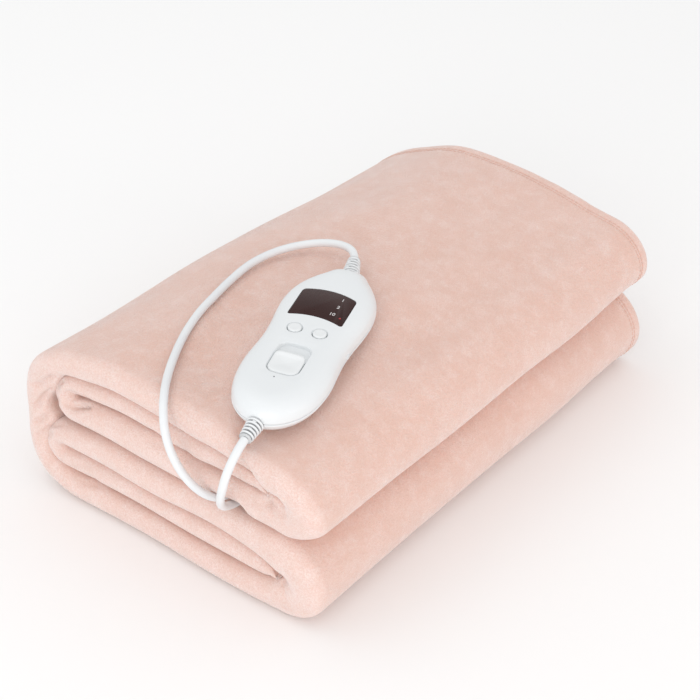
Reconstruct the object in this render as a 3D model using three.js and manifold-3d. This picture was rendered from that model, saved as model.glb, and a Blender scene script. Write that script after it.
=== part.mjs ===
// Electric underblanket, folded in half and then into two packs of three layers,
// with its hand controller on top, its blanket lead and its mains lead.
// Units are millimetres, +Z is up. The origin is under the middle of the folded cloth.
// The doubled edge of the cloth faces -Y and its hemmed edges face +Y.

import * as THREE from 'three';
import { mergeVertices } from 'three/addons/utils/BufferGeometryUtils.js';
import Module from 'manifold-3d';

const wasm = await Module();
wasm.setup();

// Driving sizes of the folded cloth
const FOLDED_LENGTH = 350;
const FOLDED_WIDTH = 238;
const PLY_SLIT = 0.8;
const PACK_GAP = 1.6;
const LAYER_GAP = 1.2;
const SPINE_BULGE = 38;
const FREE_EDGE_TAPER = 0.62;

// The six doubled layers from the floor up: thickness of the doubled cloth, the gap below it,
// and how far its front nose and its hemmed back edge stand back from the folded length
const LAYERS = {
  bottom: { thick: 19, below: 0, front: 0, back: 1.5 },
  lowerInner: { thick: 17, below: LAYER_GAP, front: 3, back: 4 },
  lowerTop: { thick: 20.5, below: LAYER_GAP, front: 0.5, back: 2 },
  upperBottom: { thick: 22, below: PACK_GAP, front: 1, back: 3.5 },
  upperInner: { thick: 15, below: LAYER_GAP, front: 4, back: 5 },
  top: { thick: 19, below: LAYER_GAP, front: 0, back: 0 },
};

// The folds in order along the cloth, from the free edge inside the upper pack:
// side -1 turns at the left and +1 at the right, inset is the distance from the folded width's
// edge to the middle of the cloth at the turn, reach is the turn's half width, and power squares it
const FOLDS = [
  { from: 'upperInner', to: 'upperBottom', side: -1, inset: 34, power: 2, steps: 8 },
  { from: 'upperBottom', to: 'top', side: 1, inset: 9.5, power: 2, steps: 11 },
  { from: 'top', to: 'bottom', side: -1, inset: 7, power: 2.25, steps: 20, reach: SPINE_BULGE },
  { from: 'bottom', to: 'lowerTop', side: 1, inset: 9.5, power: 2, steps: 11 },
  { from: 'lowerTop', to: 'lowerInner', side: -1, inset: 23.5, power: 2, steps: 8 },
];
const FREE_EDGES = { upper: 58, lower: 61 };
const RUN_STEPS = 7;

// How the packs settle: loss of height towards the right, at the back left corner and at the left,
// how far the right side is drawn in and the upper pack's right roll lifted,
// and the channel that the leads press between the packs
const SETTLE = { low: 0.05, high: 0.2, backLeft: 0.1, left: 0.12, waist: 3, farRight: 4, lift: 4 };
const CHANNEL = { from: 6, full: 32, fullTo: 76, to: 102, rise: 6.2, keptAtTop: 0.1 };

// Controller
const CONTROLLER = { x: 42.1, y: -89.4, z: 115.9, turn: 19.4, tilt: 0.07 };
const SEAM = 10;
const COVER_TOP = 22;
const CLEARANCE = 0.3;
const BODY_OUTLINE = [
  { along: -78.2, half: 0 }, { along: -76.5, half: 7.4 }, { along: -73, half: 13.4 },
  { along: -65.7, half: 19.9 }, { along: -55.5, half: 24.4 }, { along: -43.5, half: 26.6 },
  { along: -32.5, half: 27 }, { along: -20.5, half: 26.1 }, { along: -8.5, half: 25.5 },
  { along: 5.5, half: 26.2 }, { along: 18.5, half: 27.6 }, { along: 29.5, half: 28.1 },
  { along: 41.5, half: 26.9 }, { along: 52.5, half: 23.6 }, { along: 62.5, half: 18 },
  { along: 69.5, half: 12.8 }, { along: 74.2, half: 9.2 }, { along: 76.5, half: 6 },
  { along: 77.3, half: 0 },
];
const BASE_RINGS = [
  { z: 0, across: 0.66, along: 0.87 }, { z: 1.5, across: 0.765, along: 0.91 },
  { z: 4, across: 0.88, along: 0.953 }, { z: 7, across: 0.965, along: 0.986 },
  { z: SEAM, across: 1, along: 1 },
];
const COVER_RINGS = [
  { z: SEAM + CLEARANCE, across: 1, along: 1 }, { z: 13, across: 0.99, along: 0.996 },
  { z: 16, across: 0.96, along: 0.984 }, { z: 18.6, across: 0.895, along: 0.955 },
  { z: 20.4, across: 0.81, along: 0.915 }, { z: 21.4, across: 0.73, along: 0.87 },
  { z: COVER_TOP, across: 0.64, along: 0.82 },
];
// The cover slopes down towards the display end: share of the length lost over this rise
const END_SLOPE = { share: 0.075, rise: 9 };
const WINDOW = { width: 33.4, low: 8, high: 35, bow: 4, thick: 1.3 };
const BUTTON = { x: 7.7, y: -2.7, diameter: 8.2, height: 4.2, proud: 0.7, travel: 1 };
const SWITCH = { width: 18.7, length: 18.6, low: -45, corner: 5.5, proud: 1.4 };
const RECESS = { width: 19.5, low: -45.5, high: -16.5, depth: 3.2, corner: 6 };
const RELIEF = { root: 12.4, tip: 8.2, length: 20, lowerStart: -69.5, upperStart: 70.2, axis: 10.8 };
// The lower relief droops over the front edge and both lean to the left, in degrees
const RELIEF_BEND = { droop: 10, lowerLean: 6, upperLean: 12 };

// Leads
const LEAD = 5;
const LEAD_SIDES = 8;
const LEAD_STEP = 13;
const COIL = { x: 2, y: 222, inner: 23, outer: 33, base: 1.3, height: 20.4 };
const TIE = { width: 6, thick: 1, clearance: 0.3 };
const PLUG = { tip: -101, y: 191.5, z: 7, pin: 19, pinDiameter: 4, pinGap: 18.6 };
const PLUG_BODY = { length: 35, width: 26, height: 13.7, neck: 14, fullWidth: 16 };
const PLUG_RELIEF = { length: 20, root: 10, tip: 6.4 };
const GLAND = { x: 44, y: -140, z: 58.8, length: 30, width: 12, height: 5 };

const plush = new THREE.MeshStandardMaterial({ color: 0xf2c9ba, roughness: 0.95, metalness: 0 });
const shellWhite = new THREE.MeshStandardMaterial({ color: 0xf4f5f4, roughness: 0.35, metalness: 0 });
const keyWhite = new THREE.MeshStandardMaterial({ color: 0xeff0ef, roughness: 0.4, metalness: 0 });
const smoked = new THREE.MeshStandardMaterial({ color: 0x2a1a17, roughness: 0.15, metalness: 0 });
const leadWhite = new THREE.MeshStandardMaterial({ color: 0xf3f4f3, roughness: 0.45, metalness: 0 });
const nickel = new THREE.MeshStandardMaterial({ color: 0xc9c9c6, roughness: 0.25, metalness: 1 });

// Smooth step from 0 to 1
function ease(u) {
  const t = Math.min(Math.max(u, 0), 1);
  return t * t * (3 - 2 * t);
}

function mix(a, b, u) {
  return a + (b - a) * u;
}

// Closed body from rings of equal point count, each ring an array of Vector3, capped at both ends
function loftRings(rings, capTriangles) {
  const count = rings[0].length;
  const points = rings.flat();
  const faces = [];
  for (let i = 0; i + 1 < rings.length; i += 1) {
    for (let j = 0; j < count; j += 1) {
      const a = i * count + j;
      const b = i * count + ((j + 1) % count);
      faces.push([a, b, b + count], [a, b + count, a + count]);
    }
  }
  const last = (rings.length - 1) * count;
  for (const [a, b, c] of capTriangles) {
    faces.push([c, b, a], [last + a, last + b, last + c]);
  }
  let volume = 0;
  for (const [a, b, c] of faces) {
    volume += points[a].dot(new THREE.Vector3().crossVectors(points[b], points[c]));
  }
  const index = faces.flatMap((f) => (volume > 0 ? f : [f[0], f[2], f[1]]));
  const geometry = new THREE.BufferGeometry();
  geometry.setAttribute('position', new THREE.Float32BufferAttribute(points.flatMap((p) => p.toArray()), 3));
  geometry.setIndex(index);
  return geometry;
}

function triangulate(outline) {
  return THREE.ShapeUtils.triangulateShape(outline, []);
}

// Height of the middle of each layer, worked out from the thicknesses and gaps
function layerHeights() {
  const middle = {};
  let floor = 0;
  for (const [name, layer] of Object.entries(LAYERS)) {
    floor += layer.below;
    middle[name] = floor + layer.thick / 2;
    floor += layer.thick;
  }
  return { middle, total: floor };
}

const HEIGHTS = layerHeights();
const STACK_HEIGHT = HEIGHTS.total;
const PACK_LINE = HEIGHTS.middle.lowerTop + LAYERS.lowerTop.thick / 2 + PACK_GAP / 2;

// Stations along the middle of the doubled cloth, seen from the front:
// place, half thickness, and the setback of the front and back edges
function clothStations() {
  const stations = [];
  const add = (x, z, half, front, back) => stations.push({ x, z, half, front, back });
  const edge = FOLDED_WIDTH / 2;
  const turns = FOLDS.map((fold) => {
    const rise = HEIGHTS.middle[fold.to] - HEIGHTS.middle[fold.from];
    const radius = Math.abs(rise) / 2;
    const tight = fold.side < 0 && !fold.reach;
    const reach = fold.reach ?? (tight ? radius : radius * 0.9);
    const centre = fold.side * (edge - fold.inset) - fold.side * reach;
    return { ...fold, rise, radius, tight, reach, centre };
  });
  const run = (name, x0, x1, capStart, capEnd) => {
    const layer = LAYERS[name];
    for (let i = 1; i < RUN_STEPS; i += 1) {
      const x = mix(x0, x1, i / RUN_STEPS);
      const nearStart = Math.exp(-Math.abs(x - x0) / 14);
      const nearEnd = Math.exp(-Math.abs(x1 - x) / 14);
      const full = layer.thick / 2;
      const half = full - (full - Math.min(full, capStart)) * nearStart
        - (full - Math.min(full, capEnd)) * nearEnd;
      add(x, HEIGHTS.middle[name], half, layer.front, layer.back);
    }
  };
  const freeEdge = (name, x, direction) => {
    const layer = LAYERS[name];
    const half = layer.thick / 2;
    const rows = [
      { out: 0, share: FREE_EDGE_TAPER * 0.7 }, { out: 2.5, share: FREE_EDGE_TAPER },
      { out: 22, share: 0.86 },
    ];
    for (const row of direction > 0 ? rows : rows.slice().reverse()) {
      add(x - row.out, HEIGHTS.middle[name], half * row.share, layer.front, layer.back);
    }
  };
  const turn = (t) => {
    const a = LAYERS[t.from];
    const b = LAYERS[t.to];
    const cap = t.tight ? t.radius - 0.5 : Infinity;
    for (let i = 0; i < t.steps; i += 1) {
      const u = i / (t.steps - 1);
      const angle = (u - 0.5) * Math.PI;
      const c = Math.abs(Math.cos(angle)) ** (2 / t.power);
      const s = Math.sign(Math.sin(angle)) * Math.abs(Math.sin(angle)) ** (2 / t.power);
      const share = ease(u);
      const half = Math.min(mix(a.thick, b.thick, share) / 2, cap);
      const z = (HEIGHTS.middle[t.from] + HEIGHTS.middle[t.to]) / 2 + (t.rise / 2) * s;
      add(t.centre + t.side * t.reach * c, z, half, mix(a.front, b.front, share), mix(a.back, b.back, share));
    }
  };
  const capOf = (t) => (t.tight ? t.radius - 0.5 : Infinity);
  freeEdge('upperInner', FREE_EDGES.upper + 24, 1);
  run('upperInner', FREE_EDGES.upper, turns[0].centre, Infinity, capOf(turns[0]));
  turns.forEach((t, i) => {
    turn(t);
    const next = turns[i + 1];
    if (next) {
      run(t.to, t.centre, next.centre, capOf(t), capOf(next));
    }
  });
  run('lowerInner', turns[4].centre, FREE_EDGES.lower, capOf(turns[4]), Infinity);
  freeEdge('lowerInner', FREE_EDGES.lower + 24, -1);
  return stations;
}

// Section of the doubled cloth, seen along the layer: a closed nose at the front, two plies,
// and a slit that is open at the hemmed back edge. Points are (y, distance from the middle).
function doubledSection(half, front, back) {
  const nose = -FOLDED_LENGTH / 2 + front;
  const hem = FOLDED_LENGTH / 2 - back;
  const slit = PLY_SLIT / 2;
  const corner = Math.min(2.2, (half - slit) * 0.45);
  const alongY = [1, 0.82, 0.6, 0.4, 0.2, 0].map((u) => mix(nose + half, hem - corner, u));
  const noseSteps = 6;
  const points = alongY.map((y) => [y, half]);
  for (let i = 1; i < noseSteps; i += 1) {
    const a = Math.PI * (0.5 + i / noseSteps);
    points.push([nose + half + half * Math.cos(a), half * Math.sin(a)]);
  }
  points.push(...alongY.slice().reverse().map((y) => [y, -half]));
  points.push([hem, -half + corner], [hem, -slit - corner], [hem - corner, -slit]);
  points.push([0, -slit], [nose + half, -slit], [nose + half - 1, 0], [nose + half, slit], [0, slit]);
  points.push([hem - corner, slit], [hem, slit + corner], [hem, half - corner]);
  return points.map(([y, w]) => new THREE.Vector2(y, w));
}

// Where a point of the neatly stacked cloth comes to rest
function settle(x, y, z) {
  const edge = FOLDED_WIDTH / 2;
  const fall = (v) => (v - 20 + Math.hypot(v - 20, 30)) / 2;
  const right = fall(x) / fall(edge);
  const low = Math.min(z, PACK_LINE);
  const high = Math.max(z - PACK_LINE, 0);
  let height = low * (1 - SETTLE.low * right) + high * (1 - SETTLE.high * right);
  height *= 1 - SETTLE.backLeft * ease((y + 60) / 235) * ease((-x - 10) / 100);
  height *= 1 - SETTLE.left * ease((-x - 30) / 90);
  if (z > PACK_LINE) {
    const width = ease((x - CHANNEL.from) / (CHANNEL.full - CHANNEL.from))
      * (1 - ease((x - CHANNEL.fullTo) / (CHANNEL.to - CHANNEL.fullTo)));
    const kept = mix(1, CHANNEL.keptAtTop, high / (STACK_HEIGHT - PACK_LINE));
    height += CHANNEL.rise * width * kept;
    height += SETTLE.lift * ease((x - 92) / 30) * (1 - ease(high / 30));
  }
  const along = Math.cos((Math.PI * y) / FOLDED_LENGTH);
  const rightSide = ease((x - 60) / 60);
  const waist = SETTLE.waist * along * rightSide * (1 - ease((z - 40) / 30));
  const drawn = SETTLE.farRight * rightSide * ease((y - 60) / 100);
  return new THREE.Vector3(x - waist - drawn, y, height);
}

function blanketGeometry() {
  const stations = clothStations();
  const rings = stations.map((s, i) => {
    const before = stations[Math.max(i - 1, 0)];
    const after = stations[Math.min(i + 1, stations.length - 1)];
    const run = new THREE.Vector2(after.x - before.x, after.z - before.z).normalize();
    return doubledSection(s.half, s.front, s.back)
      .map((p) => settle(s.x - run.y * p.y, p.x, s.z + run.x * p.y));
  });
  const first = doubledSection(stations[0].half, stations[0].front, stations[0].back);
  return loftRings(rings, triangulate(first));
}

// Controller body outline, half width against length, made smooth and mirrored
function bodyOutline() {
  const side = new THREE.SplineCurve(BODY_OUTLINE.map((row) => new THREE.Vector2(row.half, row.along)));
  const right = side.getPoints(26);
  const left = right.slice(1, -1).reverse().map((p) => new THREE.Vector2(-p.x, p.y));
  return right.concat(left);
}

function shellGeometry(rows) {
  const outline = bodyOutline();
  const rings = rows.map((row) => outline.map((p) => {
    const slope = p.y > 0 ? END_SLOPE.share * ease((row.z - SEAM) / END_SLOPE.rise) : 0;
    return new THREE.Vector3(p.x * row.across, p.y * row.along * (1 - slope), row.z);
  }));
  return loftRings(rings, triangulate(outline));
}

function toManifold(geometry) {
  const bare = new THREE.BufferGeometry();
  bare.setAttribute('position', geometry.getAttribute('position'));
  bare.setIndex(geometry.getIndex());
  const merged = mergeVertices(bare, 1e-4);
  return new wasm.Manifold(new wasm.Mesh({
    numProp: 3,
    vertProperties: new Float32Array(merged.getAttribute('position').array),
    triVerts: new Uint32Array(merged.getIndex().array),
  }));
}

function fromManifold(solid) {
  const mesh = solid.getMesh();
  const geometry = new THREE.BufferGeometry();
  geometry.setAttribute('position', new THREE.Float32BufferAttribute(mesh.vertProperties, 3));
  geometry.setIndex(Array.from(mesh.triVerts));
  return geometry;
}

function cut(geometry, tools) {
  return fromManifold(tools.reduce((body, tool) => body.subtract(toManifold(tool)), toManifold(geometry)));
}

function extrude(shape, height, floor, curveSegments = 6) {
  const geometry = new THREE.ExtrudeGeometry(shape, { depth: height, bevelEnabled: false, curveSegments });
  return geometry.translate(0, 0, floor);
}

// Rectangle with round corners
function roundedRectangle(width, low, high, radius) {
  const w = width / 2;
  const shape = new THREE.Shape();
  shape.moveTo(-w + radius, low);
  shape.lineTo(w - radius, low);
  shape.absarc(w - radius, low + radius, radius, -Math.PI / 2, 0);
  shape.lineTo(w, high - radius);
  shape.absarc(w - radius, high - radius, radius, 0, Math.PI / 2);
  shape.lineTo(-w + radius, high);
  shape.absarc(-w + radius, high - radius, radius, Math.PI / 2, Math.PI);
  shape.lineTo(-w, low + radius);
  shape.absarc(-w + radius, low + radius, radius, Math.PI, 1.5 * Math.PI);
  return shape;
}

// Display window: straight sides, and long edges bowed towards the display end
function windowShape(grow) {
  const w = WINDOW.width / 2 + grow;
  const low = WINDOW.low - grow;
  const high = WINDOW.high + grow;
  const shape = new THREE.Shape();
  shape.moveTo(-w, low);
  shape.quadraticCurveTo(0, low + 2 * WINDOW.bow, w, low);
  shape.lineTo(w, high);
  shape.quadraticCurveTo(0, high + 2 * WINDOW.bow, -w, high);
  shape.closePath();
  return shape;
}

function disc(diameter, height, x, y, floor, sides = 20) {
  return new THREE.CylinderGeometry(diameter / 2, diameter / 2, height, sides)
    .rotateX(Math.PI / 2)
    .translate(x, y, floor + height / 2);
}

function mesh(name, geometry, material) {
  const item = new THREE.Mesh(geometry, material);
  item.name = name;
  return item;
}

// Strain relief that tapers from its root to its tip, turned about the Y axis
function reliefGeometry(root, tip, length) {
  const profile = [
    new THREE.Vector2(0, 0), new THREE.Vector2(root / 2, 0),
    new THREE.Vector2(mix(root, tip, 0.5) / 2, length / 2), new THREE.Vector2(tip / 2, length),
    new THREE.Vector2(0, length),
  ];
  return new THREE.LatheGeometry(profile, 14);
}

function controller() {
  const group = new THREE.Group();
  group.position.set(CONTROLLER.x, CONTROLLER.y, CONTROLLER.z);
  const up = new THREE.Vector3(CONTROLLER.tilt, 0, 1).normalize();
  const turn = THREE.MathUtils.degToRad(CONTROLLER.turn);
  const along = new THREE.Vector3(-Math.sin(turn), Math.cos(turn), 0);
  along.addScaledVector(up, -along.dot(up)).normalize();
  const across = new THREE.Vector3().crossVectors(along, up);
  group.setRotationFromMatrix(new THREE.Matrix4().makeBasis(across, along, up));

  const recess = roundedRectangle(RECESS.width, RECESS.low, RECESS.high, RECESS.corner);
  const cuts = [
    extrude(windowShape(CLEARANCE), 4, COVER_TOP - WINDOW.thick - CLEARANCE, 8),
    extrude(recess, 6, COVER_TOP - RECESS.depth),
  ];
  for (const side of [-1, 1]) {
    const floor = COVER_TOP + BUTTON.proud - BUTTON.height - BUTTON.travel - CLEARANCE;
    cuts.push(disc(BUTTON.diameter + 2 * CLEARANCE, 8, side * BUTTON.x, BUTTON.y, floor));
  }
  const lower = mesh('relief_lower', reliefGeometry(RELIEF.root, RELIEF.tip, RELIEF.length), leadWhite);
  const droop = THREE.MathUtils.degToRad(RELIEF_BEND.droop);
  lower.rotation.set(droop, 0, Math.PI - THREE.MathUtils.degToRad(RELIEF_BEND.lowerLean), 'XYZ');
  lower.position.set(0, RELIEF.lowerStart, RELIEF.axis);
  const upper = mesh('relief_upper', reliefGeometry(RELIEF.root, RELIEF.tip, RELIEF.length), leadWhite);
  upper.rotation.z = THREE.MathUtils.degToRad(RELIEF_BEND.upperLean);
  upper.position.set(0, RELIEF.upperStart, RELIEF.axis);
  group.add(lower, upper);

  // Each relief sits in a pocket that is cut into the ends of both shells
  const pockets = [lower, upper].map((relief) => {
    relief.updateMatrix();
    return reliefGeometry(RELIEF.root + 2 * CLEARANCE, RELIEF.tip + 2 * CLEARANCE, RELIEF.length)
      .translate(0, -CLEARANCE, 0)
      .applyMatrix4(relief.matrix);
  });
  group.add(mesh('controller_base', cut(shellGeometry(BASE_RINGS), pockets), shellWhite));
  group.add(mesh('controller_cover', cut(shellGeometry(COVER_RINGS), [...cuts, ...pockets]), shellWhite));
  const pane = extrude(windowShape(0), WINDOW.thick, COVER_TOP - WINDOW.thick, 8);
  group.add(mesh('display_window', pane, smoked));
  for (const [name, side] of [['button_left', -1], ['button_right', 1]]) {
    const floor = COVER_TOP + BUTTON.proud - BUTTON.height;
    group.add(mesh(name, disc(BUTTON.diameter, BUTTON.height, side * BUTTON.x, BUTTON.y, floor), keyWhite));
  }
  const cap = roundedRectangle(SWITCH.width, SWITCH.low, SWITCH.low + SWITCH.length, SWITCH.corner);
  const capFloor = COVER_TOP - RECESS.depth + CLEARANCE;
  group.add(mesh('power_switch', extrude(cap, RECESS.depth + SWITCH.proud - CLEARANCE, capFloor), keyWhite));

  return group;
}

// Plain tube along hand-chosen points
function lead(name, points) {
  const curve = new THREE.CatmullRomCurve3(points.map((p) => new THREE.Vector3(...p)), false, 'centripetal');
  const steps = Math.max(2, Math.round(curve.getLength() / LEAD_STEP));
  const section = new THREE.Shape();
  section.absarc(0, 0, LEAD / 2, 0, 2 * Math.PI);
  const geometry = new THREE.ExtrudeGeometry(section, {
    steps, extrudePath: curve, bevelEnabled: false, curveSegments: LEAD_SIDES,
  });
  return mesh(name, geometry, leadWhite);
}

// Blanket lead: from the display end of the controller, round a wide loop on the top,
// over the front edge and into the gap between the packs
const BLANKET_LEAD_ROUTE = [
  [9.05, -5.75, 129], [6.4, -2.2, 129.2], [2.8, 0.9, 129.3], [-1.7, 3.3, 129.1], [-6.7, 4.6, 128.4],
  [-12.4, 4.9, 127.5], [-20.8, 3.3, 126], [-29.4, -0.9, 124.2], [-37.2, -8.4, 122.7],
  [-42.9, -18.2, 121.7], [-46.1, -30, 121.1], [-46.5, -43, 121], [-43, -64, 121.2],
  [-38.5, -82, 121.5], [-33.5, -100, 121.7], [-24.5, -122, 121.8], [-12, -145, 121.7],
  [-1.5, -161, 121.6], [7, -172, 121.2], [13.5, -179.8, 117.8], [18.5, -184.8, 111.5],
  [22.5, -187, 103.5], [26.5, -187.5, 95.5], [31.5, -187, 87.5], [36.6, -184.8, 79.6],
  [41.2, -180.6, 72.4], [44, -174.4, 66.6], [44.8, -166.4, 63], [44.2, -155.4, 61.4],
];

// Mains lead: from the other end, down the front, through between the packs, down the back
const MAINS_LEAD_ROUTE = [
  [70.25, -174.75, 121.15], [71.1, -179.1, 119.85], [71.6, -183.1, 117.6], [71.8, -186.6, 114.6],
  [71.6, -189.4, 110.9], [71.1, -191.3, 106.8], [70.2, -192.3, 102.3], [69, -192.4, 97.7],
  [66.9, -191.8, 91.8], [64.3, -190, 85.6], [61.4, -187, 79.5], [58.5, -182.8, 73.5],
  [56.1, -177.5, 68.4], [54.5, -171, 64.6], [53.8, -163.8, 62.5], [53.6, -156, 61.7],
  [53.8, -140, 61.3], [55.4, -105, 61.3], [56.5, -50, 61.3], [56.5, 50, 61.3], [56.5, 130, 61.3],
  [56.5, 160, 61.2], [56.5, 174, 60.2], [56.5, 185, 56.4], [56.5, 192.4, 48.6], [56.3, 195.2, 38.4],
  [55.5, 195.6, 26.6], [50.5, 194.8, 14], [40, 193.2, 6], [26, 191.7, 3.8],
];

// Last short stretch, from the side of the coil to the plug
const MAINS_TAIL_ROUTE = [[-15.6, 191.5, 7.4], [-21, 191.5, 7.1], [-26.2, 191.5, 7]];

function leads() {
  const group = new THREE.Group();
  group.add(lead('blanket_lead', BLANKET_LEAD_ROUTE));
  group.add(lead('mains_lead', MAINS_LEAD_ROUTE));
  group.add(lead('mains_tail', MAINS_TAIL_ROUTE));

  const ring = [
    new THREE.Vector2(COIL.inner, 0), new THREE.Vector2(COIL.outer, 0),
    new THREE.Vector2(COIL.outer, COIL.height), new THREE.Vector2(COIL.inner, COIL.height),
    new THREE.Vector2(COIL.inner, 0),
  ];
  const coil = mesh('mains_coil', new THREE.LatheGeometry(ring, 36), leadWhite);
  coil.rotation.x = Math.PI / 2;
  coil.position.set(COIL.x, COIL.y, COIL.base);
  group.add(coil);

  const band = new THREE.Shape();
  const inner = COIL.inner - TIE.clearance;
  const outer = COIL.outer + TIE.clearance;
  const top = COIL.base + COIL.height + TIE.clearance;
  band.moveTo(inner - TIE.thick, 0);
  band.lineTo(outer + TIE.thick, 0);
  band.lineTo(outer + TIE.thick, top + TIE.thick);
  band.lineTo(inner - TIE.thick, top + TIE.thick);
  band.closePath();
  const hole = new THREE.Path();
  hole.moveTo(inner, TIE.thick);
  hole.lineTo(inner, top);
  hole.lineTo(outer, top);
  hole.lineTo(outer, TIE.thick);
  hole.closePath();
  band.holes.push(hole);
  const tie = mesh('coil_tie', extrude(band, TIE.width, -TIE.width / 2), leadWhite);
  tie.rotation.set(Math.PI / 2, 0, 0);
  tie.position.set(COIL.x, COIL.y, 0);
  group.add(tie);
  return group;
}

function plug() {
  const group = new THREE.Group();
  const face = PLUG.tip + PLUG.pin;
  const shoulder = face + PLUG_BODY.length;
  const body = new THREE.Shape();
  const w = PLUG_BODY.width / 2;
  body.moveTo(face, -w);
  body.lineTo(face + PLUG_BODY.fullWidth, -w);
  body.lineTo(shoulder, -PLUG_BODY.neck / 2);
  body.lineTo(shoulder, PLUG_BODY.neck / 2);
  body.lineTo(face + PLUG_BODY.fullWidth, w);
  body.lineTo(face, w);
  body.closePath();
  const bodyMesh = mesh('plug_body', extrude(body, PLUG_BODY.height, 0), leadWhite);
  bodyMesh.position.set(0, PLUG.y, 0);
  group.add(bodyMesh);
  for (const [name, side] of [['plug_pin_near', -1], ['plug_pin_far', 1]]) {
    const pin = mesh(name, disc(PLUG.pinDiameter, PLUG.pin - CLEARANCE, 0, 0, 0, 16), nickel);
    pin.rotation.y = Math.PI / 2;
    pin.position.set(PLUG.tip, PLUG.y + (side * PLUG.pinGap) / 2, PLUG.z);
    group.add(pin);
  }
  const tapered = reliefGeometry(PLUG_RELIEF.root, PLUG_RELIEF.tip, PLUG_RELIEF.length);
  const relief = mesh('plug_relief', tapered, leadWhite);
  relief.rotation.z = -Math.PI / 2;
  relief.position.set(shoulder + CLEARANCE, PLUG.y, PLUG.z);
  group.add(relief);
  return group;
}

// Moulded entry where the blanket lead goes into the cloth, in the gap between the packs
function gland() {
  const shape = roundedRectangle(GLAND.width, GLAND.y - GLAND.length / 2, GLAND.y + GLAND.length / 2, 4);
  const item = mesh('cloth_entry', extrude(shape, GLAND.height, 0), leadWhite);
  item.position.set(GLAND.x, 0, GLAND.z);
  return item;
}

const underblanket = new THREE.Group();
underblanket.add(mesh('blanket', blanketGeometry(), plush));
underblanket.add(controller());
underblanket.add(gland());
underblanket.add(leads());
underblanket.add(plug());

export default underblanket;
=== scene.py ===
"""Looks of a folded electric underblanket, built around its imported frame.

Sizes and places are in millimetres in the frame's own axes: +X to the side away from the
spine fold, +Y to the hemmed back edges, +Z up. Meshes are scaled to metres as they are made.
The leads' routes are in metres.
"""

import logging
import math
from dataclasses import dataclass, field, replace
from enum import Enum
from functools import cache
from typing import Sequence

import bmesh
import bpy
import numpy as np
from mathutils import Matrix, Vector


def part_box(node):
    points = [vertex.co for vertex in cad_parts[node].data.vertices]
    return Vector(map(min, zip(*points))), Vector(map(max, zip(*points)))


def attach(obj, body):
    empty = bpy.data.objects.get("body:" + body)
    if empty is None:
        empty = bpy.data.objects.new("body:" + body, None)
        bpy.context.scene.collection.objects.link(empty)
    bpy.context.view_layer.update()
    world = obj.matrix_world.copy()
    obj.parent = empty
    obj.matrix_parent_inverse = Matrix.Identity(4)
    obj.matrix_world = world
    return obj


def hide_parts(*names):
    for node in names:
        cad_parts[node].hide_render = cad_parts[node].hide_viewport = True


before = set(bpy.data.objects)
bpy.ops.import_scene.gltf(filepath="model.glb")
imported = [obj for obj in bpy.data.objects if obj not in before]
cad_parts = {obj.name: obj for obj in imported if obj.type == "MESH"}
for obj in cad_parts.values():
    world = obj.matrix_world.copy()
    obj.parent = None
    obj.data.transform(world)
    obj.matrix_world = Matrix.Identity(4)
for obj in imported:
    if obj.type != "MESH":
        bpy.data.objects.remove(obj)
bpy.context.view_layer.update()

LOG = logging.getLogger("underblanket")
MM = 0.001
Pair = tuple[float, float]
Point = tuple[float, float, float]
Colour = tuple[float, float, float]
Piece = bpy.types.Object
Socket = bpy.types.NodeSocket
Material = bpy.types.Material


class Body(Enum):
    """Bodies of the frame that pieces ride on."""

    BLANKET = "underblanket"
    LEFT_KEY = "left_key"
    RIGHT_KEY = "right_key"
    SWITCH = "switch"


class Slot(Enum):
    """Material slots of the record."""

    PLUSH = "plush"
    SHELL = "shell"
    KEY = "key"
    WINDOW = "window"
    LEAD = "lead"
    PIN = "pin"


def ease(u: np.ndarray | float) -> np.ndarray | float:
    """Smooth step from 0 to 1."""
    t = np.clip(u, 0.0, 1.0)
    return t * t * (3.0 - 2.0 * t)


def ramp(value: np.ndarray | float, start: float, length: float) -> np.ndarray | float:
    """Rises smoothly from 0 at a start to 1 at a length beyond it."""
    return ease((value - start) / length)


def mix(a: float, b: float, u: float) -> float:
    """Value between a and b at share u."""
    return a + (b - a) * u


def linked(name: str, data: bpy.types.ID) -> Piece:
    """Makes an object of some data and links it to the scene.

    Args:
        name: Name of the object.
        data: Its mesh, curve, light or camera.

    Returns:
        The linked object.
    """
    item = bpy.data.objects.new(name, data)
    bpy.context.scene.collection.objects.link(item)
    return item


def mesh_piece(name: str, points: np.ndarray, faces: Sequence[Sequence[int]], smooth: bool = True) -> Piece:
    """Makes a mesh object at the origin from points in millimetres.

    Args:
        name: The object's name.
        points: Rows of x, y, z in millimetres.
        faces: Vertex indices of each face.
        smooth: Whether faces are shaded smooth.

    Returns:
        The linked object.
    """
    data = bpy.data.meshes.new(name)
    data.from_pydata((np.asarray(points, float) * MM).tolist(), [], [list(f) for f in faces])
    data.validate()
    data.polygons.foreach_set("use_smooth", [smooth] * len(data.polygons))
    return linked(name, data)


def turn_outwards(item: Piece, merge: float = 0.0) -> None:
    """Merges doubles and points all faces outwards.

    Args:
        item: A mesh object.
        merge: Merging distance in millimetres, or 0 for none.
    """
    shape = bmesh.new()
    shape.from_mesh(item.data)
    if merge > 0:
        bmesh.ops.remove_doubles(shape, verts=shape.verts, dist=merge * MM)
    bmesh.ops.recalc_face_normals(shape, faces=shape.faces)
    shape.to_mesh(item.data)
    shape.free()


def soften(item: Piece, degrees: float) -> None:
    """Shades smooth, but keeps edges sharper than an angle crisp."""
    item.data.polygons.foreach_set("use_smooth", [True] * len(item.data.polygons))
    item.data.set_sharp_from_angle(angle=math.radians(degrees))


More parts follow.
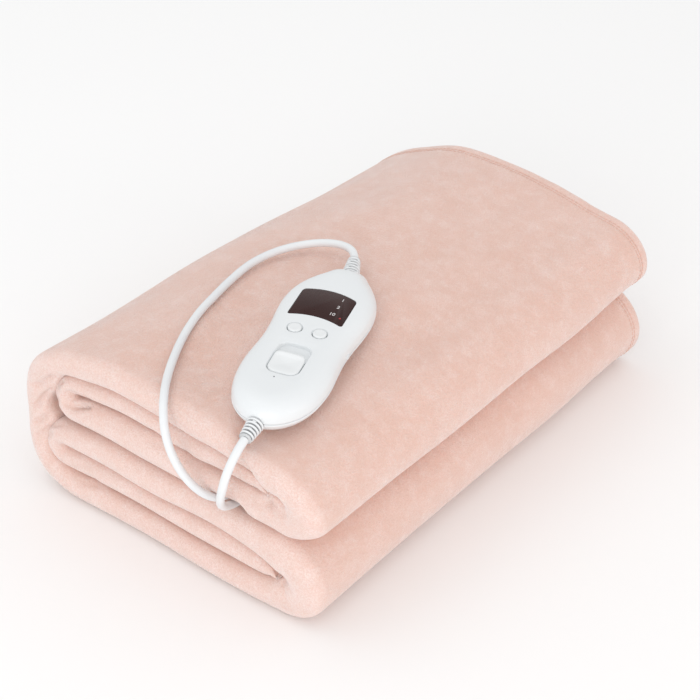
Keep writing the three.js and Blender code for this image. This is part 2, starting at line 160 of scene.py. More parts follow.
def ring_faces(rings: int, count: int, joined: bool = False) -> list[list[int]]:
    """Faces between successive closed rings of equal point count.

    Args:
        rings: Number of rings.
        count: Points in each ring.
        joined: Whether the last ring joins the first.

    Returns:
        Quads as vertex indices.
    """
    faces = []
    for i in range(rings if joined else rings - 1):
        n = (i + 1) % rings
        for j in range(count):
            k = (j + 1) % count
            faces.append([i * count + j, i * count + k, n * count + k, n * count + j])
    return faces


def loft(name: str, rings: Sequence[np.ndarray], merge: float = 0.001) -> Piece:
    """Closed body through rings of equal point count, capped at both ends.

    Args:
        name: The object's name.
        rings: The rings, in order.
        merge: Merging distance in millimetres, or 0 for none.

    Returns:
        The linked object.
    """
    count = len(rings[0])
    faces = ring_faces(len(rings), count)
    faces.append(list(range(count))[::-1])
    last = (len(rings) - 1) * count
    faces.append([last + j for j in range(count)])
    item = mesh_piece(name, np.vstack(rings), faces)
    turn_outwards(item, merge)
    return item


def hoop(name: str, rings: Sequence[Sequence[Point]], crisp: float) -> Piece:
    """Closed band through rings that lead round to the first.

    Args:
        name: The object's name.
        rings: The rings, in order.
        crisp: Angle in degrees above which an edge stays crisp.

    Returns:
        The linked object.
    """
    points = np.array(rings, float)
    item = mesh_piece(name, points.reshape(-1, 3), ring_faces(*points.shape[:2], joined=True))
    turn_outwards(item)
    soften(item, crisp)
    return item


def circle(radius: float, z: float, sides: int, x: float = 0.0, y: float = 0.0) -> np.ndarray:
    """Level ring of points.

    Args:
        radius: Its radius.
        z: Its height.
        sides: Number of its points.
        x: Its middle's x.
        y: Its middle's y.

    Returns:
        Rows of x, y, z.
    """
    a = np.arange(sides) * 2 * math.pi / sides
    return np.column_stack([x + radius * np.cos(a), y + radius * np.sin(a), np.full(sides, z)])


def blocks(name: str, boxes: Sequence[tuple[Point, Point]], rounding: float, steps: int) -> Piece:
    """Boxes with rounded edges, in one mesh.

    Args:
        name: The object's name.
        boxes: Size and middle of each, in millimetres.
        rounding: Width of the rounding in millimetres.
        steps: Faces across the rounding.

    Returns:
        The linked object.
    """
    shape = bmesh.new()
    for size, middle in boxes:
        made = bmesh.ops.create_cube(shape, size=1.0)
        bmesh.ops.scale(shape, verts=made["verts"], vec=Vector(size) * MM)
        bmesh.ops.translate(shape, verts=made["verts"], vec=Vector(middle) * MM)
    bmesh.ops.bevel(shape, geom=shape.edges, offset=rounding * MM, segments=steps, affect="EDGES")
    data = bpy.data.meshes.new(name)
    shape.to_mesh(data)
    shape.free()
    return linked(name, data)


def finished_copy(item: Piece, name: str) -> Piece:
    """Turns an object with live modifiers into a plain mesh object and removes the source.

    Args:
        item: Object whose modifiers are live.
        name: Name of the new object.

    Returns:
        The plain mesh object.
    """
    graph = bpy.context.evaluated_depsgraph_get()
    data = bpy.data.meshes.new_from_object(item.evaluated_get(graph))
    bpy.data.objects.remove(item)
    data.name = name
    return linked(name, data)


def respaced(line: np.ndarray, count: int = 0, step: float = 1.0) -> np.ndarray:
    """Even samples along a line.

    Args:
        line: Rows of points.
        count: Number of samples, or 0 to go by the step.
        step: Distance between the samples, in the points' own unit.

    Returns:
        The samples, as rows.
    """
    run = np.concatenate([[0.0], np.cumsum(np.linalg.norm(np.diff(line, axis=0), axis=1))])
    even = np.linspace(0.0, run[-1], count or max(2, int(round(run[-1] / step))) + 1)
    return np.stack([np.interp(even, run, line[:, i]) for i in range(line.shape[1])], axis=1)


def smooth_line(points: Sequence[Point], step: float) -> np.ndarray:
    """Centripetal Catmull-Rom line through points, resampled to even steps.

    Args:
        points: The points that the line passes.
        step: Distance between the samples, in the points' own unit.

    Returns:
        Rows of x, y, z.
    """
    given = np.asarray(points, float)
    padded = np.vstack([2 * given[0] - given[1], given, 2 * given[-1] - given[-2]])
    fine = []
    for i in range(1, len(padded) - 2):
        p0, p1, p2, p3 = padded[i - 1 : i + 3]
        knots = np.cumsum([0.0] + [np.linalg.norm(b - a) ** 0.5 for a, b in ((p0, p1), (p1, p2), (p2, p3))])
        t0, t1, t2, t3 = knots
        for t in np.linspace(t1, t2, 16, endpoint=False):
            a1 = (t1 - t) / (t1 - t0) * p0 + (t - t0) / (t1 - t0) * p1
            a2 = (t2 - t) / (t2 - t1) * p1 + (t - t1) / (t2 - t1) * p2
            a3 = (t3 - t) / (t3 - t2) * p2 + (t - t2) / (t3 - t2) * p3
            b1 = (t2 - t) / (t2 - t0) * a1 + (t - t0) / (t2 - t0) * a2
            b2 = (t3 - t) / (t3 - t1) * a2 + (t - t1) / (t3 - t1) * a3
            fine.append((t2 - t) / (t2 - t1) * b1 + (t - t1) / (t2 - t1) * b2)
    fine.append(given[-1])
    return respaced(np.array(fine), step=step)


class NodeBuilder:
    """Adds and links the nodes of one tree."""

    def __init__(self, tree: bpy.types.NodeTree) -> None:
        """Takes the tree to build in."""
        self.tree = tree

    def add(
        self, kind: str, given: dict[str | int, object] | None = None, **settings: object
    ) -> bpy.types.Node:
        """Adds a node.

        Args:
            kind: The node's type.
            given: A socket to link or a value to set for an input, by its name or number.
            settings: The node's own properties.

        Returns:
            The node.
        """
        node = self.tree.nodes.new(kind)
        for key, value in settings.items():
            setattr(node, key, value)
        for key, value in (given or {}).items():
            if isinstance(value, Socket):
                self.tree.links.new(value, node.inputs[key])
            else:
                node.inputs[key].default_value = value
        return node


# Materials


class Shader(NodeBuilder):
    """Small builder for one procedural material."""

    def __init__(self, name: str) -> None:
        """Starts a material with a Principled shader on its output.

        Args:
            name: Name of the material.
        """
        self.material = bpy.data.materials.new(name)
        self.material.use_nodes = True
        super().__init__(self.material.node_tree)
        self.surface = self.tree.nodes["Principled BSDF"]
        self.place = self.add("ShaderNodeTexCoord").outputs["Object"]

    def fill(self, **values: object) -> None:
        """Sets constant values on the surface's own sockets, by name with underscores."""
        for key, value in values.items():
            self.surface.inputs[key.replace("_", " ")].default_value = value

    def noise(self, scale: float, detail: float = 3.0, roughness: float = 0.5) -> Socket:
        """Noise in object space.

        Args:
            scale: Features to a metre.
            detail: Octaves.
            roughness: Strength of the finer octaves.

        Returns:
            The factor output.
        """
        given = {"Scale": scale, "Detail": detail, "Roughness": roughness, "Vector": self.place}
        return self.add("ShaderNodeTexNoise", given).outputs["Fac"]

    def span(
        self, value: Socket, low: float, high: float, to_low: float = 0.0, to_high: float = 1.0
    ) -> Socket:
        """Maps a value's range to another and clamps it.

        Args:
            value: The value.
            low: Start of its range.
            high: End of its range.
            to_low: What the start becomes.
            to_high: What the end becomes.

        Returns:
            The mapped value.
        """
        given = dict(enumerate((value, low, high, to_low, to_high)))
        return self.add("ShaderNodeMapRange", given, clamp=True).outputs[0]

    def tint(self, factor: Socket, first: Colour | Socket, second: Colour) -> Socket:
        """Mixes two colours.

        Args:
            factor: Share of the second.
            first: A colour, or a socket that gives one.
            second: A colour.

        Returns:
            The mixed colour.
        """
        start = first if isinstance(first, Socket) else (*first, 1.0)
        given = {"Factor": factor, 6: start, 7: (*second, 1.0)}
        return self.add("ShaderNodeMix", given, data_type="RGBA").outputs[2]

    def sum(self, first: Socket, second: Socket, weight: float) -> Socket:
        """First value plus a share of the second."""
        given = {0: second, 1: weight, 2: first}
        return self.add("ShaderNodeMath", given, operation="MULTIPLY_ADD").outputs[0]

    def facing(self, way: Point, low: float, high: float) -> Socket:
        """Rises from 0 to 1 as the surface turns towards a direction.

        Args:
            way: Unit vector to turn towards.
            low: Cosine at which it starts.
            high: Cosine at which it is full.

        Returns:
            The factor output.
        """
        normal = self.add("ShaderNodeTexCoord").outputs["Normal"]
        turned = self.add("ShaderNodeVectorMath", {0: normal, 1: way}, operation="DOT_PRODUCT")
        return self.span(turned.outputs["Value"], low, high)

    def convex(self, low: float, high: float, most: float) -> Socket:
        """Rises from 0 to the most on convex edges, between two values of pointiness."""
        return self.span(self.add("ShaderNodeNewGeometry").outputs["Pointiness"], low, high, 0.0, most)

    def shade_in_grooves(self, reach: float, low: float, high: float) -> Socket:
        """Rises from 0 in the open to 1 in narrow grooves; a mask for painted shade.

        Args:
            reach: How far the surroundings count, in millimetres.
            low: Open share at which it is full.
            high: Open share at which it starts.

        Returns:
            The factor output.
        """
        around = self.add("ShaderNodeAmbientOcclusion", {"Distance": reach * MM}, samples=8)
        return self.span(around.outputs["AO"], low, high, 1.0, 0.0)

    def colour(self, socket: Socket) -> None:
        """Links a colour to the surface."""
        self.tree.links.new(socket, self.surface.inputs["Base Color"])

    def rough(self, socket: Socket) -> None:
        """Links a roughness to the surface."""
        self.tree.links.new(socket, self.surface.inputs["Roughness"])

    def bump(self, height: Socket, strength: float, depth: float) -> None:
        """Adds relief.

        Args:
            height: Height from 0 to 1.
            strength: Share of the effect.
            depth: Height of 1, in millimetres.
        """
        given = {"Strength": strength, "Distance": depth * MM, "Height": height}
        normal = self.add("ShaderNodeBump", given).outputs["Normal"]
        self.tree.links.new(normal, self.surface.inputs["Normal"])


@dataclass(frozen=True)
class PlushFinish:
    """Short brushed pile: grainy, with painted light: faces turned to the front are painted paler, and convex
    edges get a painted sheen.
    """

    name: str = "peach_plush"
    tone: Colour = (0.78, 0.54, 0.465)
    deep: Colour = (0.725, 0.455, 0.37)
    pale: Colour = (0.87, 0.71, 0.665)
    pile_depth: float = 0.55
    glow: float = 0.1
    glow_reach: Point = (0.006, 0.003, 0.0022)

    def material(self) -> Material:
        """Builds the node material.

        Returns:
            The material.
        """
        shader = Shader(self.name)
        drifts = shader.noise(32.0, 4.0, 0.6)
        brushed = shader.noise(95.0, 4.0, 0.6)
        tufts = shader.noise(420.0, 3.0, 0.7)
        fibres = shader.noise(1000.0, 2.0, 0.8)
        base = shader.tint(shader.span(drifts, 0.38, 0.62, 0.0, 0.55), self.tone, self.deep)
        lie = shader.sum(shader.span(brushed, 0.45, 0.7, 0.0, 0.42), shader.span(tufts, 0.4, 0.7), 0.22)
        # Pale nap patches, and painted light: faces turned to the front are painted paler.
        nap_and_painted_front_light = shader.tint(shader.sum(lie, shader.facing((0.0, -1.0, 0.0), 0.1, 0.8), 0.6), base, self.pale)
        # Painted sheen: convex edges and crests are painted paler.
        painted_edge_sheen = shader.tint(shader.convex(0.502, 0.53, 0.5), nap_and_painted_front_light, self.pale)
        shader.colour(shader.tint(shader.span(fibres, 0.36, 0.62, 0.55, 0.0), painted_edge_sheen, self.deep))
        shader.bump(shader.sum(shader.sum(tufts, fibres, 1.3), brushed, 0.4), 0.8, self.pile_depth)
        shader.fill(
            Roughness=0.92,
            Specular_IOR_Level=0.12,
            Sheen_Weight=0.8,
            Sheen_Roughness=0.45,
            Sheen_Tint=(1.0, 0.95, 0.94, 1.0),
            Subsurface_Weight=self.glow,
            Subsurface_Radius=self.glow_reach,
            Subsurface_Scale=1.0,
        )
        return shader.material


@dataclass(frozen=True)
class MouldedFinish:
    """Moulded plastic with a faint skin, and painted shade in its grooves where asked for."""

    name: str
    tone: Colour
    shade: Colour
    roughness: float = 0.32
    coat: float = 0.2
    grain: float = 900.0
    relief: float = 0.02
    gloss: float = 0.5
    # Painted shade in grooves: share of the shade colour there, 1 for none, and how far round the hollow is
    # sensed.
    groove_shade: float = 1.0
    groove_shade_reach: float = 2.4

    @cache
    def material(self) -> Material:
        """Builds the node material the first time, and gives the same one afterwards.

        Returns:
            The material.
        """
        shader = Shader(self.name)
        cloudy = shader.noise(30.0, 3.0, 0.5)
        skin = shader.noise(self.grain, 2.0, 0.5)
        tone = shader.tint(shader.span(cloudy, 0.3, 0.7), self.tone, self.shade)
        # Painted shade: grooves and hollows are darkened where the surroundings close in.
        if self.groove_shade < 1.0:
            shade_in_grooves = shader.shade_in_grooves(self.groove_shade_reach, 0.25, 0.75)
            tone = shader.tint(shade_in_grooves, tone, tuple(self.groove_shade * c for c in self.shade))
        shader.colour(tone)
        shader.rough(shader.span(skin, 0.3, 0.7, self.roughness - 0.05, self.roughness + 0.07))
        shader.bump(skin, 0.25, self.relief)
        shader.fill(Coat_Weight=self.coat, Coat_Roughness=0.15, IOR=1.48, Specular_IOR_Level=self.gloss)
        return shader.material


@dataclass(frozen=True)
class PlatedFinish:
    """Bright plated metal with fine drawn marks."""

    name: str = "nickel_plate"
    tone: Colour = (0.66, 0.65, 0.62)

    def material(self) -> Material:
        """Builds the node material.

        Returns:
            The material.
        """
        shader = Shader(self.name)
        marks = shader.noise(1200.0, 2.0, 0.6)
        shader.colour(shader.tint(marks, self.tone, (0.56, 0.55, 0.52)))
        shader.rough(shader.span(marks, 0.3, 0.7, 0.16, 0.3))
        shader.fill(Metallic=1.0)
        return shader.material


@dataclass(frozen=True)
class LitFinish:
    """Printed mark or lamp on the display; on a printed mark the glow is painted light."""

    name: str
    tone: Colour
    glow: float

    def material(self) -> Material:
        """Builds the node material.

        Returns:
            The material.
        """
        shader = Shader(self.name)
        grain = shader.noise(2500.0, 2.0, 0.5)
        darker = tuple(0.85 * c for c in self.tone)
        shader.colour(shader.tint(grain, self.tone, darker))
        shader.fill(Roughness=0.5, Emission_Color=(*self.tone, 1.0), Emission_Strength=self.glow)
        return shader.material


@dataclass(frozen=True)
class FloorFinish:
    """Plain pale studio floor."""

    tone: Colour = (0.96, 0.96, 0.96)

    def material(self) -> Material:
        """Builds the node material.

        Returns:
            The material.
        """
        shader = Shader("pale_floor")
        cloudy = shader.noise(3.0, 2.0, 0.5)
        shader.colour(shader.tint(cloudy, self.tone, tuple(0.985 * c for c in self.tone)))
        shader.fill(Roughness=0.9, Specular_IOR_Level=0.1)
        return shader.material


PLUSH = PlushFinish()
SHELL_WHITE = MouldedFinish("shell_white", (0.77, 0.795, 0.81), (0.76, 0.785, 0.8), 0.36, 0.1, 900.0, 0.0005)
KEY_WHITE = MouldedFinish("key_white", (0.77, 0.79, 0.8), (0.76, 0.785, 0.795), 0.4, 0.1, 900.0, 0.0005)
LEAD_WHITE = MouldedFinish("lead_white", (0.8, 0.82, 0.83), (0.77, 0.79, 0.81), 0.42, 0.1, 500.0, 0.05)
# The reliefs' white, with painted shade darkening the grooves between the ribs.
RIBBED_WHITE_GROOVE_SHADE = replace(LEAD_WHITE, name="ribbed_white", groove_shade=0.5)
SMOKED = MouldedFinish(
    "smoked_window", (0.034, 0.006, 0.004), (0.024, 0.004, 0.003), 0.3, 0.0, 600.0, 0.002, 0.3
)
THREAD = MouldedFinish("hem_thread", (0.73, 0.48, 0.4), (0.7, 0.44, 0.36), 0.8, 0.0, 2500.0, 0.05)
SLEEVE = MouldedFinish("pin_sleeve", (0.74, 0.76, 0.77), (0.7, 0.72, 0.73), 0.45, 0.0)
NICKEL = PlatedFinish()
# Printed numerals, with a faint painted glow.
NUMERAL_PAINTED_GLOW = LitFinish("display_numeral", (0.62, 0.6, 0.6), 0.15)
RED_LAMP = LitFinish("red_lamp", (0.3, 0.015, 0.02), 0.25)
GREY_PRINT = LitFinish("grey_print", (0.25, 0.26, 0.27), 0.0)


def dress(item: Piece, finish: Material, body: Body = Body.BLANKET) -> None:
    """Gives a piece its material and body.

    Args:
        item: The piece.
        finish: Its material.
        body: The body it rides on.
    """
    item.data.materials.clear()
    item.data.materials.append(finish)
    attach(item, body.value)
    LOG.info("%s: %s on %s", item.name, finish.name, body.value)


# Geometry Nodes


class RowTree(NodeBuilder):
    """Geometry Nodes tree that sets copies of a small shape along a line."""

    def __init__(self) -> None:
        """Builds the tree with its named inputs."""
        super().__init__(bpy.data.node_groups.new("row_along_line", "GeometryNodeTree"))
        kinds = {"Geometry": "Geometry", "Shape": "Object", "Count": "Int", "Start Size": "Float"}
        kinds |= {"End Size": "Float", "Uneven": "Float", "Quarter Turns": "Float", "Finish": "Material"}
        for name, kind in kinds.items():
            self.tree.interface.new_socket(name, in_out="INPUT", socket_type="NodeSocket" + kind)
        self.tree.interface.new_socket("Geometry", in_out="OUTPUT", socket_type="NodeSocketGeometry")
        given = self.add("NodeGroupInput").outputs
        line = self.add("GeometryNodeMeshToCurve", {"Mesh": given["Geometry"]}).outputs["Curve"]
        even = self.add("GeometryNodeResampleCurve", {"Curve": line, "Count": given["Count"]})
        tangent = self.add("GeometryNodeInputTangent").outputs["Tangent"]
        way = self._keep(even.outputs["Curve"], "VECTOR", tangent)
        factor = self.add("GeometryNodeSplineParameter").outputs["Factor"]
        share = self._keep(way.outputs["Geometry"], "FLOAT", factor)
        points = {
            "Points": share.outputs["Geometry"],
            "Instance": self.add("GeometryNodeObjectInfo", {"Object": given["Shape"]}).outputs["Geometry"],
            "Rotation": self._rotation(way.outputs["Kept"], given["Quarter Turns"]),
            "Scale": self._scale(share.outputs["Kept"], given),
        }
        copies = self.add("GeometryNodeInstanceOnPoints", points).outputs["Instances"]
        real = self.add("GeometryNodeRealizeInstances", {"Geometry": copies}).outputs["Geometry"]
        finish = self.add("GeometryNodeSetMaterial", {"Geometry": real, "Material": given["Finish"]})
        self.add("NodeGroupOutput", {"Geometry": finish.outputs["Geometry"]})

    def _keep(self, geometry: Socket, kind: str, value: Socket) -> bpy.types.Node:
        """Stores a value on the points, to be read from the node's output Kept.

        Args:
            geometry: Points to store it on.
            kind: Data type of the value.
            value: Value to store.

        Returns:
            The node that stores it.
        """
        node = self.add("GeometryNodeCaptureAttribute")
        node.capture_items.new(kind, "Kept")
        self.tree.links.new(geometry, node.inputs["Geometry"])
        self.tree.links.new(value, node.inputs["Kept"])
        return node

    def _maths(self, operation: str, first: Socket | float, second: Socket | float) -> Socket:
        """Result of an operation on two sockets or numbers."""
        return self.add("ShaderNodeMath", {0: first, 1: second}, operation=operation).outputs[0]

    def _rotation(self, way: Socket, quarter_turns: Socket) -> Socket:
        """Turns Z along the line, then each copy about it by its number of quarter turns.

        Args:
            way: Direction of the line at each copy.
            quarter_turns: Quarter turns of each copy.

        Returns:
            Rotation of each copy.
        """
        aim = self.add("FunctionNodeAlignRotationToVector", {"Vector": way}, axis="Z")
        index = self.add("GeometryNodeInputIndex").outputs["Index"]
        angle = self._maths("MULTIPLY", self._maths("MULTIPLY", index, math.pi / 2), quarter_turns)
        about = self.add("ShaderNodeCombineXYZ", {"Z": angle}).outputs[0]
        turn = self.add("FunctionNodeEulerToRotation", {0: about}).outputs[0]
        both = {"Rotation": aim.outputs["Rotation"], "Rotate By": turn}
        return self.add("FunctionNodeRotateRotation", both, rotation_space="LOCAL").outputs["Rotation"]

    def _scale(self, share: Socket, given: bpy.types.NodeOutputs) -> Socket:
        """Size from the line's start to its end, times a seeded unevenness.

        Args:
            share: Place along the line, from 0 at its start to 1 at its end.
            given: Inputs of the tree.

        Returns:
            Scale of each copy.
        """
        ends = {"Value": share, "To Min": given["Start Size"], "To Max": given["End Size"]}
        size = self.add("ShaderNodeMapRange", ends).outputs["Result"]
        jitter = self.add("FunctionNodeRandomValue", data_type="FLOAT")
        jitter.inputs["Seed"].default_value = 7
        low, high = [s for s in jitter.inputs if s.type == "VALUE" and s.name in ("Min", "Max")][:2]
        self.tree.links.new(self._maths("SUBTRACT", 1.0, given["Uneven"]), low)
        self.tree.links.new(self._maths("ADD", 1.0, given["Uneven"]), high)
        drawn = [s for s in jitter.outputs if s.type == "VALUE"][0]
        return self._maths("MULTIPLY", size, drawn)

    def lay(
        self,
        name: str,
        lines: Sequence[np.ndarray],
        shape: Piece,
        finish: Material,
        count: int,
        sizes: Pair = (1.0, 1.0),
        uneven: float = 0.0,
        quarter_turns: float = 0.0,
    ) -> Piece:
        """Lays copies of a shape along lines and returns them as one plain mesh.

        Args:
            name: The piece's name.
            lines: Each a row of points in millimetres.
            shape: The small shape, made about the origin with its axis along Z.
            finish: Its material.
            count: Copies along each line.
            sizes: Scale at the start and the end of a line.
            uneven: Share by which a copy's size may differ.
            quarter_turns: Quarter turns from one copy to the next, about the line.

        Returns:
            The finished piece.
        """
        edges = []
        start = 0
        for line in lines:
            edges += [(start + i, start + i + 1) for i in range(len(line) - 1)]
            start += len(line)
        data = bpy.data.meshes.new(name + "_line")
        data.from_pydata((np.vstack(lines) * MM).tolist(), edges, [])
        host = linked(name + "_line", data)
        row = host.modifiers.new("row", "NODES")
        row.node_group = self.tree
        values = {
            "Shape": shape,
            "Count": count,
            "Start Size": sizes[0],
            "End Size": sizes[1],
            "Uneven": uneven,
            "Quarter Turns": quarter_turns,
            "Finish": finish,
        }
        for socket in self.tree.interface.items_tree:
            if socket.in_out == "INPUT" and socket.name in values:
                row[socket.identifier] = values[socket.name]
        result = finished_copy(host, name)
        bpy.data.objects.remove(shape)
        return result


# The cloth


@dataclass(frozen=True)
class Layer:
    """One doubled layer: thickness, gap below, and setbacks of its front and back edges."""

    thick: float
    below: float
    front: float
    back: float


@dataclass(frozen=True)
class Fold:
    """One turn of the cloth from a layer to the next.

    side is -1 at the left and +1 at the right, inset the distance from the folded width's edge
    to the middle of the cloth, reach the turn's half width, and power squares it.
    """

    start: str
    to: str
    side: int
    inset: float
    power: float = 2.0
    reach: float | None = None


@dataclass(frozen=True)
class Pack:
    """Three layers folded together: the outer two, the one between, and where its free edge ends."""

    below: str
    inner: str
    above: str
    tip: float


@dataclass(frozen=True)
class Turn:
    """Worked-out size of a fold."""

    rise: float
    radius: float
    reach: float
    centre: float
    level: float
    cap: float


@dataclass(frozen=True)
class Crease:
    """Soft trough between two points on the cloth, or a ridge where depth is negative."""

    start: Point
    end: Point
    width: float
    depth: float


@dataclass(frozen=True)
class Wave:
    """One plane wave of unevenness: its length along each axis, phase and share."""

    length: Point
    phase: float
    share: float


@dataclass
class FoldedCloth:
    """The plush sheet, folded in half and then back and forth into two packs of layers."""

    folded_length: float = 350.0
    folded_width: float = 238.0
    flat_size: tuple[float, float] = (1.3, 0.7)
    ply_slit: float = 0.8
    pack_gap: float = 1.6
    layer_gap: float = 1.2
    pinch: float = 0.35
    tuck_length: float = 11.0
    run_step: float = 3.8
    turn_step: float = 2.0
    spine_step: float = 1.35
    flat_steps: int = 58
    nose_steps: int = 22
    hem_rows: tuple[float, ...] = (3.0, 4.6, 6.2, 7.2, 8.0, 8.8, 9.5, 10.2, 11.0, 12.2, 14.5, 18.0)
    hem_band: float = 10.4
    hem_rise: float = 0.5
    stitch_rows: tuple[int, int] = (4, 7)
    stitch_groove: float = 0.6
    stitch_pitch: float = 3.4
    stitch_proud: float = 0.2
    stitch_lowest: float = 0.6
    stitches_start: int = 6
    cap_reach: float = 14.0
    tip_run: float = 10.0
    tip_places: tuple[float, ...] = (0.0, 0.4, 1.2, 2.4, 4.2, 6.6)
    crease_reach: float = 7.0
    right_low: float = 0.05
    right_high: float = 0.2
    back_left: float = 0.1
    left_fall: float = 0.12
    waist: float = 3.0
    far_right: float = 4.0
    notch: float = 4.0
    channel: tuple[float, float, float, float] = (32.0, 41.0, 61.0, 70.0)
    channel_rise: float = 6.2
    channel_kept_at_top: float = 0.1
    nest_rise: float = 1.8
    nest: tuple[float, float, float, float, float] = (42.1, -89.4, 19.4, 27.0, 79.0)
    layers: dict[str, Layer] = field(
        default_factory=lambda: {
            "bottom": Layer(19.0, 0.0, 0.0, 1.5),
            "lower_inner": Layer(17.0, 1.2, 3.0, 4.0),
            "lower_top": Layer(20.5, 1.2, 0.5, 2.0),
            "upper_bottom": Layer(22.0, 1.6, 1.0, 3.5),
            "upper_inner": Layer(15.0, 1.2, 4.0, 5.0),
            "top": Layer(19.0, 1.2, 0.0, 0.0),
        }
    )
    folds: tuple[Fold, ...] = (
        Fold("upper_inner", "upper_bottom", -1, 34.0),
        Fold("upper_bottom", "top", 1, 9.5),
        Fold("top", "bottom", -1, 7.0, 2.25, 38.0),
        Fold("bottom", "lower_top", 1, 9.5),
        Fold("lower_top", "lower_inner", -1, 23.5),
    )
    packs: tuple[Pack, ...] = (
        Pack("upper_bottom", "upper_inner", "top", 82.0),
        Pack("bottom", "lower_inner", "lower_top", 88.0),
    )
    # Middle and width along the spine, and extra thickness of its inner side
    spine_pads: tuple[Point, ...] = ((0.27, 0.15, 6.0), (0.52, 0.055, 6.0), (0.74, 0.1, -2.0))
    waves: tuple[Wave, ...] = (
        Wave((190.0, 260.0, 150.0), 0.4, 0.55),
        Wave((-103.0, 151.0, 94.0), 2.1, 0.35),
        Wave((71.0, -117.0, 67.0), 4.4, 0.25),
    )
    creases: tuple[Crease, ...] = (
        # Gathers of the spine's front edge
        Crease((-88, -173, 87), (-104, -175, 76), 1.6, 4.4),
        Crease((-90, -174, 72), (-107, -175, 59), 1.6, 4.6),
        Crease((-92, -173, 57), (-107, -175, 47), 1.7, 4.4),
        Crease((-97, -173, 42), (-108, -174, 36), 1.6, 2.0),
        Crease((-95, -174, 66), (-104, -175, 60), 1.2, 1.4),
        Crease((-89, -174, 80), (-99, -175, 73), 1.2, 1.6),
        # Wrinkles that run together at the tight turn of the upper pack's inner layer
        Crease((-64, -170, 81), (-80, -175, 73), 1.3, 2.4),
        Crease((-65, -171, 80), (-74, -175, 74), 1.2, 1.8),
        Crease((-66, -171, 82), (-79, -174, 79), 1.2, 1.8),
        Crease((-68, -172, 78), (-76, -175, 69), 1.3, 1.4),
        # Wrinkles at the tight turn of the lower pack
        Crease((-66, -172, 32), (-78, -174, 26), 1.4, 1.4),
        Crease((-60, -172, 22), (-72, -174, 17), 1.5, 1.2),
        # The top layer's front edge, pressed in under the mains lead
        Crease((62, -164, 115), (69, -177, 98), 3.4, 5.0),
        Crease((69, -176, 98), (72, -174, 88), 3.0, 3.0),
        # Hollows in the front edges behind the leads
        Crease((58, -175, 76), (66, -176, 75), 4.0, 3.0),
        Crease((70, -175, 82), (74, -174, 76), 2.0, 2.0),
        Crease((-5, -173, 81), (0, -172, 79), 3.0, 1.6),
        Crease((17, -174, 94), (20, -173, 84), 3.0, 1.6),
        # Creases at the upper pack's inner right corner
        Crease((81, -171, 79), (78, -175, 70), 1.4, 2.0),
        Crease((84, -170, 79), (90, -175, 72), 1.4, 2.2),
        Crease((84, -171, 81), (95, -175, 80), 1.4, 1.8),
        Crease((83, -171, 83), (92, -175, 90), 1.4, 1.4),
        # Creases at the lower pack's inner right corner
        Crease((82, -171, 24), (80, -175, 16), 2.0, 1.0),
        Crease((90, -171, 25), (96, -175, 18), 2.0, 1.3),
        Crease((92, -171, 29), (100, -175, 28), 2.0, 1.1),
        # Soft troughs on the top inside the lead's loop
        Crease((-34, -18, 118), (-22, -82, 118), 9.0, 1.1),
        Crease((-22, -82, 118), (-6, -135, 118), 9.0, 1.1),
        Crease((-6, -135, 118), (34, -145, 116), 8.0, 0.9),
        # Long soft folds across the top
        Crease((-70, 60, 118), (30, 140, 117), 12.0, 0.8),
        Crease((-95, -110, 116), (-40, -60, 118), 12.0, 0.7),
        Crease((60, 30, 113), (110, 110, 106), 10.0, 0.8),
    )

    def __post_init__(self) -> None:
        """Works out the height of the middle of each layer."""
        floor = 0.0
        self.middle: dict[str, float] = {}
        for name, layer in self.layers.items():
            floor += layer.below
            self.middle[name] = floor + layer.thick / 2
            floor += layer.thick
        self.pack_line = self.middle["lower_top"] + self.layers["lower_top"].thick / 2 + self.pack_gap / 2

    def _turns(self) -> list[Turn]:
        """Works out the size of each fold.

        Returns:
            One turn for each fold, in the order of the folds.
        """
        edge = self.folded_width / 2
        turns = []
        for fold in self.folds:
            rise = self.middle[fold.to] - self.middle[fold.start]
            radius = abs(rise) / 2
            reach = fold.reach or radius
            centre = fold.side * (edge - fold.inset - reach)
            level = (self.middle[fold.start] + self.middle[fold.to]) / 2
            tight = fold.side < 0 and fold.reach is None
            turns.append(Turn(rise, radius, reach, centre, level, radius - 0.5 if tight else math.inf))
        return turns

    def _tuck(self, pack: Pack, x: float) -> tuple[float, float, float]:
        """Half thickness and height of a pack's inner layer at x, and the space kept for it.

        Args:
            pack: Pack that the inner layer belongs to.
            x: Place across the stack.

        Returns:
            Half the thickness, the height and the space kept.
        """
        share = 1 - math.exp(-max(pack.tip - x, 0.0) / self.tuck_length)
        half = self.layers[pack.inner].thick / 2 * share
        level = (self.middle[pack.below] + self.middle[pack.above]) / 2
        height = mix(level, self.middle[pack.inner], share)
        return max(half, 0.12), height, half + mix(self.pinch, self.layer_gap, share)

    def stations(self) -> np.ndarray:
        """Stations along the middle of the doubled cloth.

        Returns:
            Rows of x, z, outer and inner thickness from the middle, front and back setback.
        """
        rows: list[tuple[float, ...]] = []
        turns = self._turns()
        pack_of = {name: pack for pack in self.packs for name in (pack.below, pack.inner, pack.above)}

